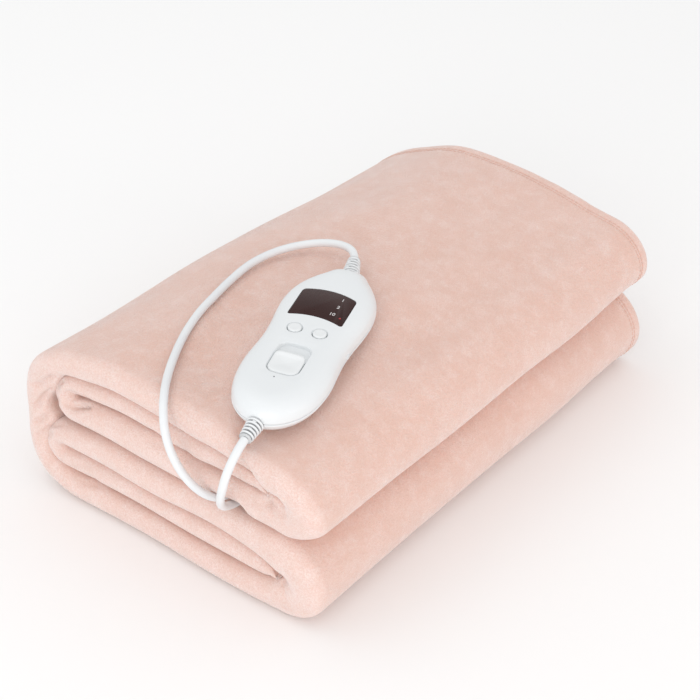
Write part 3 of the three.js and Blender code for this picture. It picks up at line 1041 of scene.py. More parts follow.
        def run(name: str, places: Sequence[float], cap0: float, cap1: float) -> None:
            """Adds the stations of a straight layer.

            Args:
                name: The layer.
                places: Values of x along it, with those of its two ends.
                cap0: Most half thickness at its first end.
                cap1: Most half thickness at its last end.
            """
            layer, pack = self.layers[name], pack_of[name]
            full = layer.thick / 2
            for x in places[1:-1]:
                near0 = math.exp(-abs(x - places[0]) / self.cap_reach)
                near1 = math.exp(-abs(places[-1] - x) / self.cap_reach)
                half = full - (full - min(full, cap0)) * near0 - (full - min(full, cap1)) * near1
                tucked, height, space = self._tuck(pack, x)
                if name == pack.inner:
                    half = min(half, tucked)
                    rows.append((x, height, half, half, layer.front, layer.back))
                    continue
                fill = abs(self.middle[name] - height) - space - full
                rows.append((x, self.middle[name], half, half + max(fill, 0.0), layer.front, layer.back))

        def spread(x0: float, x1: float) -> list[float]:
            """Even places from x0 to x1."""
            steps = max(4, math.ceil(abs(x1 - x0) / self.run_step))
            return [mix(x0, x1, i / steps) for i in range(steps + 1)]

        def tip_end(pack: Pack) -> list[float]:
            """Places at the free edge of a pack's inner layer, from the outside."""
            return [pack.tip + 1] + [pack.tip - inside for inside in self.tip_places]

        def turn(fold: Fold, t: Turn) -> None:
            """Adds the stations of a turn.

            Args:
                fold: The fold.
                t: Its worked-out size.
            """
            a, b = self.layers[fold.start], self.layers[fold.to]
            arc = math.pi * (t.radius + t.reach) / 2
            steps = math.ceil(arc / (self.spine_step if fold.reach else self.turn_step))
            for i in range(steps + 1):
                u = i / steps
                angle = (u - 0.5) * math.pi
                c = abs(math.cos(angle)) ** (2 / fold.power)
                s = math.copysign(abs(math.sin(angle)) ** (2 / fold.power), math.sin(angle))
                share = float(ease(u))
                outer = min(mix(a.thick, b.thick, share) / 2, t.cap)
                inner = outer if fold.side < 0 else t.radius - self.pinch
                if fold.reach:
                    pads = [pad * math.exp(-(((u - at) / wide) ** 2)) for at, wide, pad in self.spine_pads]
                    inner += sum(pads)
                x = t.centre + fold.side * t.reach * c
                z = t.level + t.rise / 2 * s
                rows.append((x, z, outer, inner, mix(a.front, b.front, share), mix(a.back, b.back, share)))

        upper, lower = self.packs
        start = tip_end(upper) + spread(upper.tip - self.tip_run, turns[0].centre)
        run(upper.inner, start, math.inf, turns[0].cap)
        for i, fold in enumerate(self.folds):
            turn(fold, turns[i])
            if i + 1 < len(self.folds):
                run(fold.to, spread(turns[i].centre, turns[i + 1].centre), turns[i].cap, turns[i + 1].cap)
        end = spread(turns[-1].centre, lower.tip - self.tip_run) + tip_end(lower)[::-1]
        run(lower.inner, end, turns[-1].cap, math.inf)
        return np.array(rows)

    def _hem(self, inside: float) -> float:
        """Height of the hem's band and stitch grooves at a distance inside the edge.

        Args:
            inside: Distance from the hemmed edge.

        Returns:
            Height over the plain cloth.
        """
        band = self.hem_rise * (1 - float(ramp(inside, self.hem_band, 2.0)))
        grooves = sum(math.exp(-(((inside - self.hem_rows[row]) / 0.8) ** 2)) for row in self.stitch_rows)
        return band - self.stitch_groove * grooves

    def section(self, outer: float, inner: float, front: float, back: float) -> np.ndarray:
        """Outline of the doubled cloth across its length, with its slit open at the back.

        Args:
            outer: Thickness from the middle line to the side that faces out of the pack.
            inner: Thickness from the middle line to the other side.
            front: Setback of the closed nose.
            back: Setback of the hemmed edges.

        Returns:
            Rows of y and distance from the middle line.
        """
        half, shift = (inner + outer) / 2, (inner - outer) / 2
        depth = min(half, outer)
        nose = -self.folded_length / 2 + front
        hem = self.folded_length / 2 - back
        slit = min(self.ply_slit / 2, half * 0.3)
        corner = min(3.2, (half - slit) * 0.45)
        thin = min(1.0, half / 6.0)
        flat_from, flat_to = hem - self.hem_rows[-1], nose + depth
        face = [(hem - d, half + thin * self._hem(d)) for d in self.hem_rows]
        face += [(mix(flat_from, flat_to, i / self.flat_steps), half) for i in range(1, self.flat_steps + 1)]
        arc = []
        for i in range(1, self.nose_steps):
            a = math.pi * (0.5 + i / self.nose_steps)
            arc.append((nose + depth + depth * math.cos(a), half * math.sin(a)))
        other = [(y, -w) for y, w in face[::-1]]
        rise = thin * self._hem(self.hem_rows[0])

        def lip(sign: int) -> list[Pair]:
            """Rounded hem edge of one ply, from its outer face to the slit.

            Args:
                sign: 1 for the ply on the plus side of the middle line, -1 for the other.

            Returns:
                Points from the outer face to the slit.
            """
            points = []
            for k in range(1, 5):
                a = math.pi / 2 * k / 5
                side = half + rise - corner * (1 - math.cos(a))
                points.append((hem - corner + corner * math.sin(a), sign * side))
            for k in range(4):
                a = math.pi / 2 * k / 4
                side = slit + corner - corner * math.sin(a)
                points.append((hem - corner + corner * math.cos(a), sign * side))
            return points

        depths = [mix(hem - corner, nose + depth, u) for u in (0.0, 0.03, 0.2, 0.4, 0.6, 0.8, 1.0)]
        points = face + arc + other + lip(-1)
        points += [(y, -slit) for y in depths] + [(nose + depth * 0.9, 0.0)]
        points += [(y, slit) for y in depths[::-1]] + lip(1)[::-1]
        return np.array(points) + (0.0, shift)

    def settle(self, points: np.ndarray) -> np.ndarray:
        """Moves points of the neatly stacked cloth to where they come to rest.

        Args:
            points: Places in the neat stack.

        Returns:
            Their places at rest.
        """
        x, y, z = points[..., 0], points[..., 1], points[..., 2]
        edge = self.folded_width / 2

        def fall(v: np.ndarray | float) -> np.ndarray | float:
            """Gentle slope that grows towards the right edge."""
            return (v - 20 + np.hypot(v - 20, 30)) / 2

        right = fall(x) / fall(edge)
        low = np.minimum(z, self.pack_line)
        high = np.maximum(z - self.pack_line, 0)
        height = low * (1 - self.right_low * right) + high * (1 - self.right_high * right)
        height = height * (1 - self.back_left * ramp(y, -60, 235) * ramp(-x, 10, 100))
        height = height * (1 - self.left_fall * ramp(-x, 30, 90))
        # The leads' channel in the gap between the packs
        start, full, full_to, end = self.channel
        width = ramp(x, start, full - start) * (1 - ramp(x, full_to, end - full_to))
        kept = mix(1, self.channel_kept_at_top, np.clip(high / 22.0, 0, 1))
        height = height + np.where(z > self.pack_line, self.channel_rise * width * kept, 0.0)
        # The notch between the packs at the right
        roll = ramp(x, 92, 30)
        height = height + np.where(z > self.pack_line, self.notch * roll * (1 - ramp(high, 0, 30)), 0.0)
        # The long right side, drawn in at its middle and towards the back
        along = np.cos(np.pi * y / self.folded_length)
        right_side = ramp(x, 60, 60)
        drawn = self.waist * along * right_side * (1 - ramp(z, 40, 30))
        drawn = drawn + self.far_right * ramp(y, 60, 100) * right_side
        return np.stack([x - drawn, y, height], axis=-1)

    def uneven(self, points: np.ndarray) -> np.ndarray:
        """Adds the soft unevenness of hand-folded cloth, and the nest that the controller sinks into.

        Args:
            points: Places in the settled stack.

        Returns:
            Their uneven places.
        """
        x, y, z = points[..., 0], points[..., 1], points[..., 2]
        swell = np.zeros(x.shape)
        shift = np.zeros(x.shape)
        for wave in self.waves:
            lx, ly, lz = wave.length
            swell += wave.share * np.sin(2 * np.pi * (x / lx + y / ly + z / lz) + wave.phase)
            shift += wave.share * np.sin(2 * np.pi * (x / ly - z / lz) + 1.7 * wave.phase)
        lifted = z + 1.2 * swell * ramp(z, 4, 20)
        cx, cy, turn, half_width, half_length = self.nest
        a = math.radians(turn)
        across = (x - cx) * math.cos(a) + (y - cy) * math.sin(a)
        along = (y - cy) * math.cos(a) - (x - cx) * math.sin(a)
        rim = np.hypot(across / half_width, along / half_length)
        lifted = lifted + self.nest_rise * ramp(rim, 0.8, 0.3) * (1 - ramp(rim, 1.1, 0.7)) * ramp(z, 70, 30)
        moved = y + 1.6 * shift * ramp(np.abs(y), 110, 60)
        sideways = x + 0.9 * shift * ramp(np.abs(x), 80, 40) * ramp(z, 2, 12)
        return np.stack([sideways, moved, np.maximum(lifted, 0.0)], axis=-1)

    def crease(self, grid: np.ndarray) -> np.ndarray:
        """Presses the creases into a grid of points along its normals.

        Args:
            grid: Points of the cloth, stations by points of the section.

        Returns:
            The grid with its creases.
        """
        along = np.gradient(grid, axis=0)
        around = np.roll(grid, -1, axis=1) - np.roll(grid, 1, axis=1)
        normal = np.cross(around, along)
        normal /= np.maximum(np.linalg.norm(normal, axis=-1, keepdims=True), 1e-9)
        if float(((grid - grid.mean(axis=(0, 1))) * normal).sum()) < 0:
            normal = -normal
        inwards = np.zeros(grid.shape[:2])
        for item in self.creases:
            a, b = np.array(item.start, float), np.array(item.end, float)
            way = b - a
            share = np.clip(((grid - a) @ way) / (way @ way), 0, 1)
            gap = grid - (a + share[..., None] * way)
            through = (gap * normal).sum(axis=-1)
            aside = np.sqrt(np.maximum((gap**2).sum(axis=-1) - through**2, 0))
            near = np.exp(-((through / self.crease_reach) ** 4))
            across = np.exp(-((aside / item.width) ** 2) / 2)
            inwards += item.depth * near * across * (0.55 + 0.45 * (1 - share))
        return grid - normal * inwards[..., None]

    def grid(self) -> np.ndarray:
        """Points of the settled cloth: stations by points of the section.

        Returns:
            Array of stations, points of the section, and x, y and z.
        """
        rows = self.stations()
        run = np.gradient(rows[:, :2], axis=0)
        run /= np.linalg.norm(run, axis=1, keepdims=True)
        sections = [self.section(*row[2:]) for row in rows]
        stack = [
            np.stack([row[0] - way[1] * cut[:, 1], cut[:, 0], row[1] + way[0] * cut[:, 1]], axis=1)
            for row, way, cut in zip(rows, run, sections)
        ]
        return self.crease(self.uneven(self.settle(np.array(stack))))

    def build(self) -> tuple[Piece, Piece]:
        """Makes the cloth and its stitches.

        Returns:
            The cloth and the rows of stitches.
        """
        grid = self.grid()
        cloth = loft("blanket_cloth", grid, 0.0)
        LOG.info("cloth: %d stations of %d points", *grid.shape[:2])
        return cloth, self._stitches(grid)

    def _stitches(self, grid: np.ndarray) -> Piece:
        """Two rows of stitches along the hem of the side that faces out of the packs.

        Args:
            grid: Points of the cloth, stations by points of the section.

        Returns:
            The stitches as one mesh object.
        """
        face = len(self.hem_rows) + self.flat_steps
        hem_start = 2 * face + self.nose_steps - 2
        part = slice(self.stitches_start, -self.stitches_start)
        lines = []
        for row in self.stitch_rows:
            line = grid[part, hem_start - row]
            outwards = line - grid[part, row]
            outwards /= np.linalg.norm(outwards, axis=1, keepdims=True)
            line = line + outwards * self.stitch_proud
            line[:, 2] = np.maximum(line[:, 2], self.stitch_lowest)
            lines.append(line)
        length = float(np.linalg.norm(np.diff(lines[0], axis=0), axis=1).sum())
        count = int(length / self.stitch_pitch)
        return ROWS.lay("hem_stitches", lines, self._stitch_shape(), THREAD.material(), count, uneven=0.12)

    def _stitch_shape(self) -> Piece:
        """One plump stitch about the origin, along Z.

        Returns:
            The stitch's mesh object.
        """
        half = self.stitch_pitch * 0.38
        table = ((-1.0, 0.12), (-0.6, 0.36), (0.0, 0.46), (0.6, 0.36), (1.0, 0.12))
        return loft("stitch_shape", [circle(radius, share * half, 6) for share, radius in table])


# Leads


@dataclass
class Leads:
    """The blanket lead and the mains lead, with the moulded tie on the coil."""

    diameter: float = 5.0
    blanket_lead_length: float = 0.33
    mains_lead_length: float = 1.975
    blanket_route: tuple[Point, ...] = (
        (0.00905, -0.00575, 0.129), (0.0064, -0.0022, 0.1292), (0.0028, 0.0009, 0.1293),
        (-0.0017, 0.0033, 0.1291), (-0.0067, 0.0046, 0.1284), (-0.0124, 0.0049, 0.1275),
        (-0.0208, 0.0033, 0.126), (-0.0294, -0.0009, 0.1242), (-0.0372, -0.0084, 0.1227),
        (-0.0429, -0.0182, 0.1217), (-0.0461, -0.03, 0.1211), (-0.0465, -0.043, 0.121),
        (-0.043, -0.064, 0.1212), (-0.0385, -0.082, 0.1215), (-0.0335, -0.1, 0.1217),
        (-0.0245, -0.122, 0.1218), (-0.012, -0.145, 0.1217), (-0.0015, -0.161, 0.1216),
        (0.007, -0.172, 0.1212), (0.0135, -0.1798, 0.1178), (0.0185, -0.1848, 0.1115),
        (0.0225, -0.187, 0.1035), (0.0265, -0.1875, 0.0955), (0.0315, -0.187, 0.0875),
        (0.0366, -0.1848, 0.0796), (0.0412, -0.1806, 0.0724), (0.044, -0.1744, 0.0666),
        (0.0448, -0.1664, 0.063), (0.0442, -0.1554, 0.0614),
    )
    mains_route: tuple[Point, ...] = (
        (0.07025, -0.17475, 0.12115), (0.0711, -0.1791, 0.11985), (0.0716, -0.1831, 0.1176),
        (0.0718, -0.1866, 0.1146), (0.0716, -0.1894, 0.1109), (0.0711, -0.1913, 0.1068),
        (0.0702, -0.1923, 0.1023), (0.069, -0.1924, 0.0977), (0.0669, -0.1918, 0.0918),
        (0.0643, -0.19, 0.0856), (0.0614, -0.187, 0.0795), (0.0585, -0.1828, 0.0735),
        (0.0561, -0.1775, 0.0684), (0.0545, -0.171, 0.0646), (0.0538, -0.1638, 0.0625),
        (0.0536, -0.156, 0.0617), (0.0538, -0.14, 0.0613), (0.0554, -0.105, 0.0613),
        (0.0565, -0.05, 0.0613), (0.0565, 0.05, 0.0613), (0.0565, 0.13, 0.0613),
        (0.0565, 0.16, 0.0612), (0.0565, 0.174, 0.0602), (0.0565, 0.185, 0.0564),
        (0.0565, 0.1924, 0.0486), (0.0563, 0.1952, 0.0384), (0.0555, 0.1956, 0.0266),
        (0.0505, 0.1948, 0.014), (0.04, 0.1932, 0.006), (0.026, 0.1917, 0.0038),
    )
    line_step: float = 0.0025
    tail_bend: Point = (-0.0105, 0.1885, 0.0078)
    tail_end: Point = (-0.0262, 0.1915, 0.007)
    coil_centre: tuple[float, float] = (0.002, 0.222)
    # Radius and height of each turn in metres, in winding order
    coil_turns: tuple[tuple[float, float], ...] = (
        (0.0305, 0.0038), (0.0255, 0.0038), (0.0255, 0.0089), (0.0255, 0.014),
        (0.0255, 0.0191), (0.0305, 0.0191), (0.0305, 0.014), (0.0305, 0.0089), (0.0355, 0.0086),
    )
    points_to_a_turn: int = 36
    step_over: float = 0.2

    def coil_points(self) -> list[Point]:
        """Turns of the coil, wound clockwise from its nearest point to the object.

        Returns:
            Points along the middle of the coiled lead.
        """
        cx, cy = self.coil_centre
        points = []
        turns = len(self.coil_turns) - 1
        for i in range(turns * self.points_to_a_turn + 1):
            turn = min(i // self.points_to_a_turn, turns - 1)
            share = i / self.points_to_a_turn - turn
            u = float(ease((share - 1 + self.step_over) / self.step_over))
            radius = mix(self.coil_turns[turn][0], self.coil_turns[turn + 1][0], u)
            height = mix(self.coil_turns[turn][1], self.coil_turns[turn + 1][1], u)
            angle = -math.pi / 2 - 2 * math.pi * share
            points.append((cx + radius * math.cos(angle), cy + radius * math.sin(angle), height))
        return points

    def tube(self, name: str, line: np.ndarray) -> Piece:
        """Round lead as a curve of one open spline along a line in metres.

        Args:
            name: Name of the lead.
            line: Points along the middle of the lead.

        Returns:
            The lead's object.
        """
        data = bpy.data.curves.new(name, "CURVE")
        data.dimensions = "3D"
        data.bevel_depth = self.diameter / 2 * MM
        data.bevel_resolution = 4
        data.use_fill_caps = True
        spline = data.splines.new("POLY")
        spline.points.add(len(line) - 1)
        spline.points.foreach_set("co", np.hstack([line, np.ones((len(line), 1))]).ravel())
        spline.use_smooth = True
        return linked(name, data)

    def build(self) -> tuple[Piece, Piece, Piece]:
        """Makes the blanket lead, the mains lead and the coil's tie.

        Returns:
            The two leads and the tie, in that order.
        """
        sheath = LEAD_WHITE.material()
        blanket_lead = self.tube("blanket_flex", smooth_line(self.blanket_route, self.line_step))
        dress(blanket_lead, sheath)
        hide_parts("blanket_lead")

        coil = self.coil_points()
        route = smooth_line([*self.mains_route, coil[0]], self.line_step)
        wound = smooth_line(coil[-2:] + [self.tail_bend, self.tail_end], self.line_step)
        mains = np.vstack([route[:-1], np.array(coil[:-1]), wound[2:]])
        mains_lead = self.tube("mains_flex", mains)
        dress(mains_lead, sheath)
        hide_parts("mains_lead", "mains_coil", "mains_tail")

        tie = self.tie()
        dress(tie, sheath)
        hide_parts("coil_tie")
        return blanket_lead, mains_lead, tie

    def tie(self) -> Piece:
        """Flat tie round the coil, with rounded corners and edges.

        Returns:
            The tie's mesh object.
        """
        low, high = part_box("coil_tie")
        thick, wide, corner, rounding = 0.9, 5.0, 2.4, 0.4
        inner_x, outer_x = low.x / MM + 1.0 + corner, high.x / MM - 1.0 - corner
        base, top = 1.0 + corner, high.z / MM - 1.0 - corner
        y = (low.y + high.y) / 2 / MM
        near, far = y - wide / 2, y + wide / 2
        rings = []
        turns = ((outer_x, base, -90), (outer_x, top, 0), (inner_x, top, 90), (inner_x, base, 180))
        for cx, cz, start in turns:
            for k in range(7):
                a = math.radians(start + 15 * k)
                c, s = math.cos(a), math.sin(a)
                ox, oz = cx + (corner + thick) * c, cz + (corner + thick) * s
                ix, iz = cx + corner * c, cz + corner * s
                mx, mz = mix(ox, ix, rounding), mix(oz, iz, rounding)
                ring = [(ox, near + rounding, oz), (ox, far - rounding, oz), (mx, far, mz)]
                rings.append(ring + [(ix, far, iz), (ix, near, iz), (mx, near, mz)])
        return hoop("lead_tie", rings, 40)


@dataclass
class Relief:
    """Ribbed strain relief that tapers from a root to a tip along a bent line."""

    name: str
    root: Point
    bend: Point
    tip: Point
    root_diameter: float = 12.4
    tip_diameter: float = 8.2
    ribs: int = 8
    core_share: float = 0.58
    rib_width: float = 1.65
    # Shares of the length at which the first and the last rib sit
    rib_span: Pair = (0.1, 0.93)

    def _core(self, line: np.ndarray) -> Piece:
        """Tapered core with a collar at the root and a lip at the tip.

        Args:
            line: Points along the middle of the lead in the relief.

        Returns:
            The core's mesh object.
        """
        way = np.gradient(line, axis=0)
        way /= np.linalg.norm(way, axis=1, keepdims=True)
        side = np.cross(way, (0.0, 0.0, 1.0))
        side /= np.linalg.norm(side, axis=1, keepdims=True)
        up = np.cross(side, way)
        rings = []
        angles = np.arange(32) * 2 * math.pi / 32
        for i, centre in enumerate(line):
            share = i / (len(line) - 1)
            full = mix(self.root_diameter, self.tip_diameter, share) / 2
            collar = math.exp(-((share / 0.07) ** 2)) + 0.9 * math.exp(-(((1 - share) / 0.05) ** 2))
            radius = full * min(1.0, self.core_share + (1 - self.core_share) * collar)
            round_it = np.cos(angles)[:, None] * side[i] + np.sin(angles)[:, None] * up[i]
            rings.append(centre + radius * round_it)
        return loft(self.name + "_core", rings)

    def _rib_shape(self) -> Piece:
        """One rounded rib about Z, at the root's size.

        Returns:
            The rib's mesh object.
        """
        outer = self.root_diameter / 2
        inner = outer * (self.core_share - 0.06)
        half = self.rib_width / 2
        lip = 0.4 * half
        profile = [(inner, -half), (outer - 0.4, -half), (outer - 0.12, lip - half), (outer, -lip)]
        profile += [(radius, -height) for radius, height in profile[::-1]]
        rings = []
        for a in np.arange(30) * 2 * math.pi / 30:
            rings.append([(r * math.cos(a), r * math.sin(a), z) for r, z in profile])
        return hoop(self.name + "_rib_shape", rings, 50)

    def _bridge_shape(self) -> Piece:
        """Pair of short bars that join neighbouring ribs on opposite sides.

        Returns:
            The pair's mesh object.
        """
        aside = self.root_diameter / 2 - 1.65
        bars = [((2.6, 3.0, 2.4), (side * aside, 0.0, 0.0)) for side in (-1, 1)]
        return blocks(self.name + "_bridge_shape", bars, 0.4, 2)

    def build(self, node: str) -> list[Piece]:
        """Makes the core, which takes the node's place, the ribs and the bridges between them.

        Args:
            node: Frame node that the core stands for.

        Returns:
            The core, the ribs and the bridges.
        """
        line = smooth_line([self.root, self.bend, self.tip], 1.0)
        last = len(line) - 1
        # White with painted shade in the grooves between the ribs.
        finish = RIBBED_WHITE_GROOVE_SHADE.material()
        core = self._core(line)
        dress(core, finish)
        taper = self.tip_diameter / self.root_diameter
        first, final = self.rib_span
        ends = (mix(1.0, taper, first), mix(1.0, taper, final))
        spread = line[int(first * last) : int(final * last) + 1]
        ribs = ROWS.lay(self.name + "_ribs", [spread], self._rib_shape(), finish, self.ribs, ends)
        dress(ribs, finish)
        half_pitch = (final - first) * last / (self.ribs - 1) / 2
        between = line[int(first * last + half_pitch) : int(final * last - half_pitch) + 2]
        count = self.ribs - 1
        shape = self._bridge_shape()
        bridges = ROWS.lay(self.name + "_bridges", [between], shape, finish, count, ends, quarter_turns=1.0)
        dress(bridges, finish)
        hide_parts(node)
        return [core, ribs, bridges]


@dataclass
class Plug:
    """Flat two-pin plug that lies beside the coil."""

    tip_x: float = -101.0
    y: float = 191.5
    z: float = 7.0
    pin_length: float = 19.0
    pin_diameter: float = 4.0
    pin_gap: float = 18.6
    length: float = 35.0
    width: float = 26.0
    height: float = 13.4
    sides: int = 40
    # Share of the length, share of the width, share of the height, squareness
    body_rows: tuple[tuple[float, float, float, float], ...] = (
        (0.0, 0.93, 0.86, 5.0), (0.02, 0.985, 0.95, 5.0), (0.05, 1.0, 1.0, 5.0), (0.3, 1.0, 1.0, 5.0),
        (0.42, 0.97, 0.97, 4.0), (0.55, 0.87, 0.9, 3.6), (0.68, 0.74, 0.84, 3.2), (0.8, 0.62, 0.82, 3.0),
        (0.92, 0.53, 0.8, 2.6), (0.975, 0.5, 0.78, 2.4), (1.0, 0.45, 0.72, 2.2),
    )

    def _slice(self, x: float, width: float, height: float, power: float) -> np.ndarray:
        """Rounded cross-section of the body.

        Args:
            x: Its place along the body.
            width: Its width.
            height: Its height.
            power: Its squareness, 2 for an ellipse.

        Returns:
            Rows of x, y, z.
        """
        angles = np.arange(self.sides) * 2 * math.pi / self.sides
        c, s = np.cos(angles), np.sin(angles)
        y = self.y + width / 2 * np.sign(c) * np.abs(c) ** (2 / power)
        z = self.z - 0.1 + height / 2 * np.sign(s) * np.abs(s) ** (2 / power)
        return np.stack([np.full(self.sides, x), y, z], axis=1)

    def body(self) -> Piece:
        """Moulded body with a waisted grip that narrows to the lead.

        Returns:
            The body's mesh object.
        """
        face = self.tip_x + self.pin_length
        rings = []
        for share, wide, high, power in self.body_rows:
            x = face + share * self.length
            rings.append(self._slice(x, wide * self.width, high * self.height, power))
        item = loft("plug_housing", rings)
        soften(item, 50)
        return item

    def grips(self) -> Piece:
        """Finger ridges on both sides of the grip.

        Returns:
            The ridges' mesh object.
        """
        face = self.tip_x + self.pin_length
        lines = []
        for side in (-1, 1):
            start = (face + 0.5 * self.length, self.y + side * 11.6, self.z)
            end = (face + 0.84 * self.length, self.y + side * 7.6, self.z)
            lines.append(np.array([start, end], float))
        rings = []
        for along, radius in ((-3.4, 0.3), (-2.6, 0.8), (0.0, 0.9), (2.6, 0.8), (3.4, 0.3)):
            rings.append(circle(radius, along, 10)[:, [0, 2, 1]])
        ridge = loft("grip_shape", rings)
        ridge.data.transform(Matrix.Rotation(math.pi / 2, 4, "Z"))
        return ROWS.lay("plug_grips", lines, ridge, LEAD_WHITE.material(), 5)

    def _rod(self, name: str, y: float, rows: Sequence[Pair]) -> Piece:
        """Round rod along X.

        Args:
            name: The piece's name.
            y: Its place.
            rows: Values of x, each with the radius there.

        Returns:
            The piece.
        """
        item = loft(name, [circle(radius, x, 24, y, self.z)[:, [2, 0, 1]] for x, radius in rows])
        soften(item, 50)
        return item

    def pin(self, side: int) -> tuple[Piece, Piece]:
        """One round pin with a domed tip, and the sleeve on its root.

        Args:
            side: Side of the plug that the pin is on, 1 or -1.

        Returns:
            The pin and its sleeve.
        """
        y = self.y + side * self.pin_gap / 2
        r = self.pin_diameter / 2
        tip, root = self.tip_x, self.tip_x + self.pin_length
        where = "near" if side < 0 else "far"
        bare = [(tip, 0.5), (tip + 0.25, 1.2), (tip + 0.8, 1.75), (tip + 1.6, r), (root - 9.0, r)]
        sleeved = [(root - 9.6, r - 0.25), (root - 9.2, r - 0.02), (root + 0.5, r + 0.1)]
        return self._rod("pin_" + where, y, bare), self._rod("pin_sleeve_" + where, y, sleeved)

    def build(self) -> list[Piece]:
        """Makes the plug's pieces.

        Returns:
            All pieces of the plug.
        """
        finish = LEAD_WHITE.material()
        body = self.body()
        dress(body, finish)
        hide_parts("plug_body")
        grips = self.grips()
        dress(grips, finish)
        pieces = [body, grips]
        plate, sleeve_finish = NICKEL.material(), SLEEVE.material()
        for side, node in ((-1, "plug_pin_near"), (1, "plug_pin_far")):
            metal, sleeve = self.pin(side)
            dress(metal, plate)
            dress(sleeve, sleeve_finish)
            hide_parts(node)
            pieces += [metal, sleeve]
        return pieces


# The controller


@dataclass
class Controller:
    """Hand controller: base and cover shells, window, two keys, slide switch."""

    x: float = 42.1
    y: float = -89.4
    z: float = 115.9
    turn: float = 19.4
    tilt: float = 0.07
    seam: float = 10.0
    top: float = 22.0
    clearance: float = 0.3
    outline_points: int = 72
    outline_scale: float = 20.0
    window_width: float = 33.4
    window_low: float = 8.0
    window_high: float = 35.0
    window_bow: float = 4.0
    pane_top: float = 22.1
    key_x: float = 7.7
    key_y: float = -2.7
    key_diameter: float = 8.2
    key_proud: float = 0.7
    key_height: float = 4.2
    dish_flat: float = 2.5
    dish_radius: float = 6.8
    dish_depth: float = 0.55
    switch_width: float = 18.7
    switch_length: float = 18.6
    switch_low: float = -45.0
    recess_width: float = 19.5
    recess_low: float = -45.5
    recess_high: float = -16.5
    recess_depth: float = 3.2
    recess_corner: float = 6.0
    end_slope: float = 0.075
    end_rise: float = 9.0
    # Half width against length, from the lower end to the display end
    outline_rows: tuple[tuple[float, float], ...] = (
        (-78.2, 0.0), (-76.5, 7.4), (-73.0, 13.4), (-65.7, 19.9), (-55.5, 24.4), (-43.5, 26.6), (-32.5, 27.0),
        (-20.5, 26.1), (-8.5, 25.5), (5.5, 26.2), (18.5, 27.6), (29.5, 28.1), (41.5, 26.9), (52.5, 23.6),
        (62.5, 18.0), (69.5, 12.8), (74.2, 9.2), (76.5, 6.0), (77.3, 0.0),
    )
    # Height, share of the width, share of the length
    base_rows: tuple[Point, ...] = (
        (0.0, 0.66, 0.87), (0.4, 0.7, 0.885), (1.5, 0.765, 0.91), (4.0, 0.88, 0.953), (7.0, 0.965, 0.986),
        (9.3, 1.0, 1.0), (9.8, 0.998, 0.999), (10.0, 0.99, 0.996),
    )
    cover_rows: tuple[Point, ...] = (
        (10.3, 0.99, 0.996), (10.5, 0.997, 0.999), (10.9, 1.0, 1.0), (13.0, 0.99, 0.996),
        (16.0, 0.96, 0.984), (18.6, 0.895, 0.955), (20.4, 0.81, 0.915), (21.4, 0.73, 0.87),
        (22.0, 0.62, 0.81), (22.18, 0.45, 0.62), (22.25, 0.2, 0.3), (22.26, 0.01, 0.015),
    )

    def matrix(self) -> Matrix:
        """Place of the controller's own axes in the frame, in millimetres.

        Returns:
            Matrix from the controller's own axes to the frame's.
        """
        up = Vector((self.tilt, 0, 1)).normalized()
        turn = math.radians(self.turn)
        along = Vector((-math.sin(turn), math.cos(turn), 0))
        along = (along - up * along.dot(up)).normalized()
        across = along.cross(up)
        place = Matrix((across, along, up)).transposed().to_4x4()
        place.translation = Vector((self.x, self.y, self.z))
        return place

    def put(self, item: Piece) -> Piece:
        """Moves a mesh made in the controller's own axes to its place in the frame.

        Args:
            item: Object made in the controller's own axes.

        Returns:
            The same object, in its place.
        """
        place = self.matrix()
        place.translation *= MM
        item.data.transform(place)
        item.data.update()
        return item

    def outline(self) -> np.ndarray:
        """Smooth closed outline, as rows of half width and length, counter-clockwise.

        Returns:
            Points of the outline.
        """
        rows = [(half, along, 0.0) for along, half in self.outline_rows]
        mirrored = [(-rows[1][0], rows[1][1], 0.0)] + rows + [(-rows[-2][0], rows[-2][1], 0.0)]
        line = smooth_line(mirrored, 0.5)
        right = respaced(line[line[:, 0] >= -1e-6], self.outline_points)[:, :2]
        right[0, 0] = right[-1, 0] = 0.0
        left = right[1:-1][::-1] * (-1, 1)
        return np.vstack([right, left])

    def _shell(self, name: str, rows: Sequence[Point], steps: int, dishes: bool) -> Piece:
        """Smooth closed shell through scaled copies of the outline.

        Args:
            name: The piece's name.
            rows: Height, share of the width and share of the length, from below.
            steps: Number of rings.
            dishes: Whether the top has the keys' and the switch's dishes.

        Returns:
            The shell, in the controller's own axes.
        """
        outline = self.outline()
        scale = self.outline_scale
        line = smooth_line([(wide * scale, height, long * scale) for height, wide, long in rows], 0.25)
        rings = []
        for share_x, height, share_y in respaced(line, steps):
            ring = np.column_stack([outline * (share_x, share_y) / scale, np.full(len(outline), height)])
            slope = self.end_slope * ramp(height, self.seam, self.end_rise)
            ring[:, 1] *= np.where(ring[:, 1] > 0, 1 - slope, 1.0)
            if dishes:
                ring[:, 2] += self._dish(ring[:, 0], ring[:, 1])
            rings.append(ring)
        return loft(name, rings)

    def _dish(self, x: np.ndarray, y: np.ndarray) -> np.ndarray:
        """Depth of the shallow dishes round the keys and the switch's recess.

        Args:
            x: Places across the controller.
            y: Places along it.

        Returns:
            Depth at each place.
        """
        sunk = np.zeros(len(x))
        for side in (-1, 1):
            gap = np.hypot(x - side * self.key_x, y - self.key_y)
            sunk -= self.dish_depth * (1 - ramp(gap, self.dish_flat, self.dish_radius - self.dish_flat))
        reach_x = np.maximum(np.abs(x) - self.recess_width / 2, 0)
        middle = (self.recess_low + self.recess_high) / 2
        reach_y = np.maximum(np.abs(y - middle) - (self.recess_high - self.recess_low) / 2, 0)
        sunk -= 0.35 * (1 - ramp(np.hypot(reach_x, reach_y), 0.0, 3.6))
        return sunk

